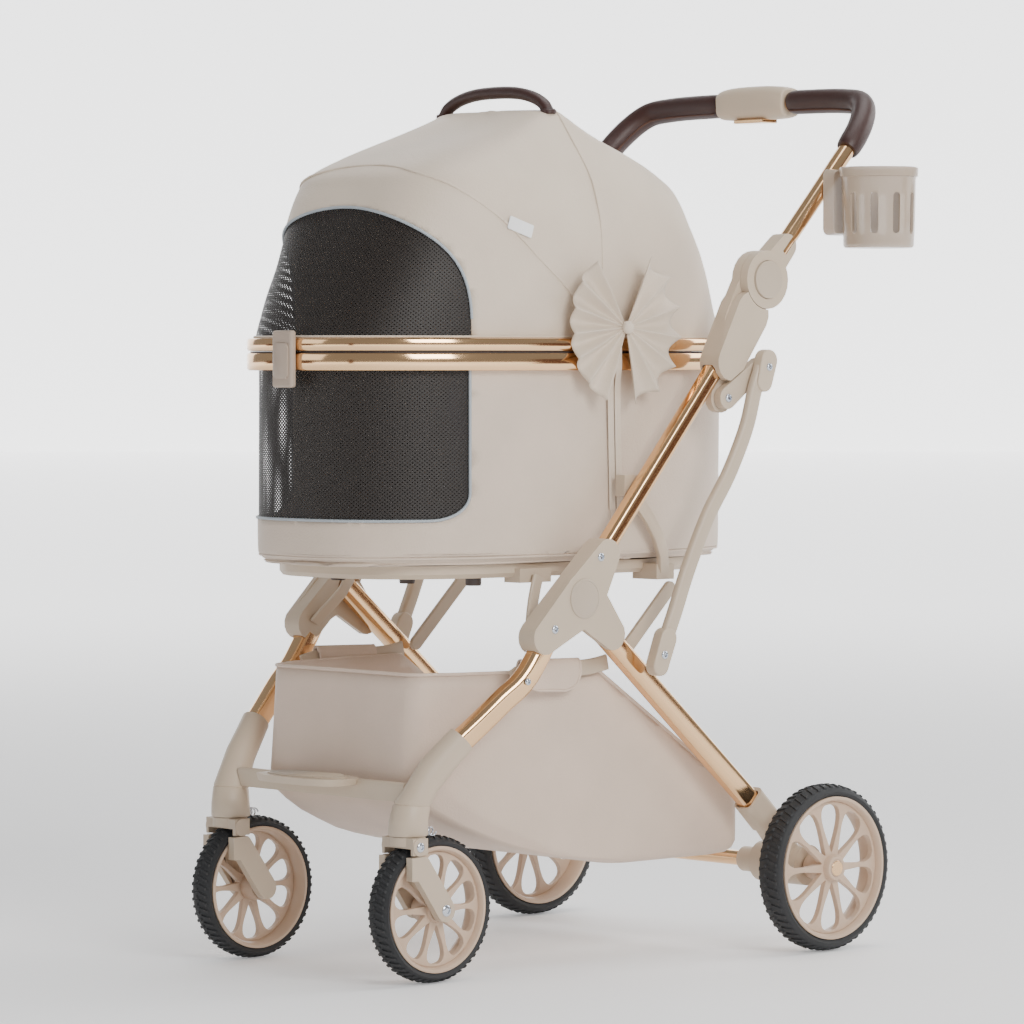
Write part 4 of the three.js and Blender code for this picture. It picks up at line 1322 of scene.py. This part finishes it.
def add_basket():
    levels = [(111.5, 60), (111, 34), (111.6, 16), (114, 7), (119, 2), (127, 0)]
    levels += [(135, 0)]
    levels += [(z, 0) for z in (144, 156, 170, 185, 200, 215, 232, 250, 268, 286, 304, 322, 340)]
    rings = [basket_ring(z, inset) for z, inset in levels]
    vertices, faces = skin(rings)
    faces = faces[:-1]  # open at the top
    bag = piece("basket_bag", vertices, faces, "basket", "frame", "basket_fabric", ["basket"],
                solidify=(2.4, -1))
    clean = bmesh.new()
    clean.from_mesh(bag.data)
    cut_point, cut_normal = at(0, -29, 342), Vector((0, 170, 252)).normalized()
    bmesh.ops.bisect_plane(clean, geom=clean.verts[:] + clean.edges[:] + clean.faces[:], plane_co=cut_point,
                           plane_no=cut_normal, clear_outer=True)
    bmesh.ops.recalc_face_normals(clean, faces=clean.faces)
    for face in clean.faces:
        face.smooth = True
    rim_edges = [e for e in clean.edges if len(e.link_faces) == 1]
    order = walk(rim_edges)
    rim = [(v.co - SHIFT) * 1000 for v in order]
    clean.to_mesh(bag.data)
    clean.free()
    bead = smooth_path([tuple(p) for p in rim], 260, closed=True)
    vertices, faces = sweep(bead, round_section(2.0, 10), (0.02, 0.3, 1), closed=True)
    piece("basket_binding", vertices, faces, "basket", "frame", "basket_fabric", sharp=60)


def walk(edges):
    """The vertices of a closed loop of edges, in order."""
    links = {}
    for edge in edges:
        a, b = edge.verts
        links.setdefault(a, []).append(b)
        links.setdefault(b, []).append(a)
    start = edges[0].verts[0]
    order, last, here = [start], None, start
    while True:
        following = [v for v in links[here] if v is not last]
        last, here = here, following[0]
        if here is start or len(order) > len(edges):
            return order
        order.append(here)


def add_flap():
    """The basket's side flap, folded over the rail and fastened outside it."""
    path = smooth_path([(168.5, 322), (169, 338), (171, 350), (175.5, 354.6), (179.6, 350), (180.8, 338),
                        (181, 320)],
                       26)
    rows = []
    for i, (x, z) in enumerate(path):
        t = i / (len(path) - 1)
        shrink = 0 if t < 0.68 else 22 * (1 - math.sqrt(max(0, 1 - ((t - 0.68) / 0.32) ** 2)))
        rows.append([(x + 1.2 * math.sin(math.pi * s), -150 + shrink + s * (88 - 2 * shrink), z - 2 * s)
                     for s in np.linspace(0, 1, 18)])
    count = 18
    vertices = [p for row in rows for p in row]
    faces = [(r * count + i, r * count + i + 1, (r + 1) * count + i + 1, (r + 1) * count + i)
             for r in range(len(rows) - 1) for i in range(count - 1)]
    for side_name, sign in SIDES:
        points = vertices if sign > 0 else mirrored(vertices)
        flap = piece(f"basket_flap_{side_name}", points, faces, "basket", "frame", "basket_fabric",
                     solidify=(2.6, 0), bevel=0.9)
        border = [row[0] for row in rows[9:]] + rows[-1][1:-1] + [row[-1] for row in rows[:8:-1]]
        line = [(sign * (x + 0.8), y, z) for x, y, z in border]
        made = sweep(smooth_path(line[::2], 110), round_section(1.7, 10), (1, 0.01, 0.02))
        piece(f"flap_piping_{side_name}", *made, "basket", "frame", "basket_fabric", sharp=60)


# ---------- bow, strap and label ----------
BOW = {"x": 188.5, "y": 3, "z": 728, "pleats": 6}


def bow_fan(start, end, reach):
    """Pleated cloth gathered at the knot: sharp ridges with hollows between them."""
    start, end = math.radians(start), math.radians(end)
    rows = []
    for radius in np.linspace(0.05, 1, 18):
        row = []
        for u in np.linspace(0, 1, 145):
            angle = start + (end - start) * u
            turn = math.pi * BOW["pleats"] * u
            ridge = 1 - 2 * abs(math.sin(turn)) ** 0.9
            out = reach * radius * (1 + 0.035 * ridge * radius + 0.05 * math.cos(2 * math.pi * u) * radius)
            depth = 7.0 * min(1, 0.25 + 1.3 * radius) * radius ** 0.35
            x = BOW["x"] + depth * ridge - 2.0 * radius * math.sin(2.4 * angle)
            row.append((x, BOW["y"] + out * math.cos(angle), BOW["z"] + 0.96 * out * math.sin(angle)))
        rows.append(row)
    count = len(rows[0])
    vertices = [p for row in rows for p in row]
    faces = [(r * count + i, r * count + i + 1, (r + 1) * count + i + 1, (r + 1) * count + i)
             for r in range(len(rows) - 1) for i in range(count - 1)]
    return vertices, faces


def add_bow():
    vertices, faces = merge_parts(bow_fan(124, 246, 87), bow_fan(68, -84, 84))
    fans = piece("bow_fans", vertices, faces, "canopy", "canopy", "canopy_fabric", ["bow"],
                 solidify=(0.9, 0))
    knot = turned([(0.1, -5), (6, -5), (7.4, -1), (7.4, 1.5), (6.2, 4), (3, 5.2), (0.1, 5.4)],
                  (BOW["x"] + 2.5, BOW["y"], BOW["z"]), count=36)
    piece("bow_knot", *knot, "canopy", "canopy", "canopy_fabric", sharp=50)
    for i, shift in enumerate((-5.4, 5.4)):
        ring_x, wall_x = CABIN_HALF + 13.6, CABIN_HALF + 2.0
        path = [(ring_x, -7 + shift, 706), (ring_x, -7 + shift, 680), (wall_x + 2, shift, 658),
                (wall_x, 3 + shift, 600), (wall_x, 5 + shift, 520)]
        vertices, faces = sweep(smooth_path(path, 40), rounded_section(1.3, 9.2, 0.5, 2), (1, 0, 0))
        piece(f"bow_tail_{i + 1}", vertices, faces, "canopy", "cabin", "cabin_fabric", sharp=50)


def canopy_point(degrees, z, lift=0.0):
    return CANOPY.point(math.radians(degrees), CANOPY.height(z), lift)


def add_side_label():
    """The small blank cloth label, laid along the canopy's slope."""
    spot = np.array(canopy_point(54, 840, 2.0))
    right = canopy_point(57, 836, 2.0) - canopy_point(51, 844, 2.0)
    right /= np.linalg.norm(right)
    out = canopy_point(54, 840, 10.0) - canopy_point(54, 840)
    out /= np.linalg.norm(out)
    up = np.cross(out, right)
    corners = rounded_section(34, 15, 1.5, 3)
    rings = [[spot + a * right + b * up + h * out for a, b in corners] for h in (-1.2, 0.6)]
    vertices, faces = skin(rings)
    piece("side_label", vertices, faces, "label", "canopy", "canopy_fabric", bevel=0.3, sharp=40)


# ---------- cup holder ----------
def add_cup():
    radius, low, high = CUP["radius"], CUP["low"], CUP["high"]
    rings, count = [], 96
    profile = [(radius - 8, low + 0.5), (radius - 4.5, low), (radius - 2.6, low + 2.5),
               (radius - 1.5, low + 30), (radius - 0.5, high - 14), (radius, high - 11.5),
               (radius + 2.2, high - 11), (radius + 2.4,
                                                            high - 1),
               (radius + 1.2, high), (radius - 1.2, high - 0.6), (radius - 3, high - 12), (radius - 4.4,
                                                            low + 30),
               (radius - 6, low + 4), (0.1, low + 4)]
    profile = [(0.1, low + 1)] + profile
    for r, z in profile:
        rings.append([turned_point((CUP["x"], CUP["y"], 0), "z", r, z, 2 * math.pi * i / count)
                      for i in range(count)])
    vertices, faces = skin(rings)
    cup = piece("cup_shell", vertices, faces, "cup", "cup", "clear_plastic", ["cup_holder"], sharp=40)
    slots = []
    for i in range(10):
        turn = 2 * math.pi * (i + 0.5) / 10
        out = np.array([math.cos(turn), math.sin(turn), 0.0])
        across = np.array([-math.sin(turn), math.cos(turn), 0.0])
        centre = np.array([CUP["x"], CUP["y"], low + 40.0]) + out * (radius - 2)
        outline = rounded_section(9, 48, 4.4, 5)
        slots.append(skin([[centre + d * out + a * across + np.array([0, 0, b]) for a, b in outline]
                           for d in (-6.0, 6.0)]))
    vertices, faces = merge_parts(*slots)
    mesh = bpy.data.meshes.new("cup_slots")
    mesh.from_pydata([at(*v) for v in vertices], [], faces)
    tidy = bmesh.new()
    tidy.from_mesh(mesh)
    bmesh.ops.recalc_face_normals(tidy, faces=tidy.faces)
    tidy.to_mesh(mesh)
    tidy.free()
    cutter = bpy.data.objects.new("cup_slots", mesh)
    bpy.context.scene.collection.objects.link(cutter)
    cut = cup.modifiers.new("slots", "BOOLEAN")
    cut.object = cutter
    cut.operation = "DIFFERENCE"
    apply_modifiers(cup)
    bpy.data.objects.remove(cutter)
    clamp = skin([[(219.9, y, z) for y, z in rounded_rect_at(313, 876, 40, 78, 8)],
                  [(236, y, z) for y, z in rounded_rect_at(313, 876, 36, 74, 7)]])
    piece("cup_clamp", *clamp, "cup", "cup", "clear_plastic", bevel=1.2, sharp=30)


def rounded_rect_at(y, z, width, height, radius):
    return [(y + a, z + b) for a, b in rounded_section(width, height, radius, 6)]


def apply_modifiers(obj):
    bpy.context.view_layer.update()
    baked = bpy.data.meshes.new_from_object(obj.evaluated_get(bpy.context.evaluated_depsgraph_get()))
    obj.modifiers.clear()
    obj.data = baked


# ---------- small details ----------
def add_details():
    # finger pad and lip of the front latch
    pad = [[(a, y, 690 + b) for a, b in rounded_section(w, h, 6, 6)]
           for y, w, h in ((-350.6, 25, 40), (-352.6, 25, 40), (-353.4, 22, 37))]
    piece("latch_pad", *skin(pad), "latch", "latch", "latch_plastic", sharp=40)
    # oval grip pad on the step plate
    ring = [[(62 * math.cos(t), -314 + 26 * math.sin(t), z) for t in np.linspace(0, 2 * math.pi, 60,
                                                            endpoint=False)]
            for z in (223.5, 225.6)]
    piece("step_pad", *skin(ring), "plastic", "frame", "beige_plastic", bevel=0.7, sharp=40)
    ribs = []
    for i in range(-5, 6):
        half = 56 * math.sqrt(max(0, 1 - (i / 6.2) ** 2))
        ribs.append(sweep([(-half, -314 + i * 4.2, 225.8), (half, -314 + i * 4.2, 225.8)],
                          rounded_section(1.8, 1.2, 0.5, 2), (0, 1, 0)))
    piece("step_ribs", *merge_parts(*ribs), "plastic", "frame", "beige_plastic")
    # rubber feet below the platform
    for i, (x, y) in enumerate(((120, -170), (30, -190), (-90, -190))):
        foot = turned([(0.1, -9), (8, -9), (9, -7.5), (9, 0)], (x, y, 446), "z", 28)
        piece(f"platform_foot_{i + 1}", *foot, "dark", "frame", "beige_plastic", sharp=40)
    # caster springs
    coil = []
    for i in range(91):
        t = i / 90
        angle = 2 * math.pi * 5 * t
        centre = np.array([FRONT_WHEEL["x"] - 14 + 28 * t, -274, 170.0])
        coil.append(centre + 4.5 * np.array([0, math.cos(angle), math.sin(angle)]))
    vertices, faces = sweep(coil, round_section(0.9, 8), (1, 0.01, 0.02))
    pair("caster_spring", vertices, faces, "steel", "caster_{side}", "beige_plastic")


add_rings()
add_canopy()
add_tub()
add_cushion()
add_carry_handle()
add_basket()
add_flap()
add_bow()
add_side_label()
add_cup()
add_details()
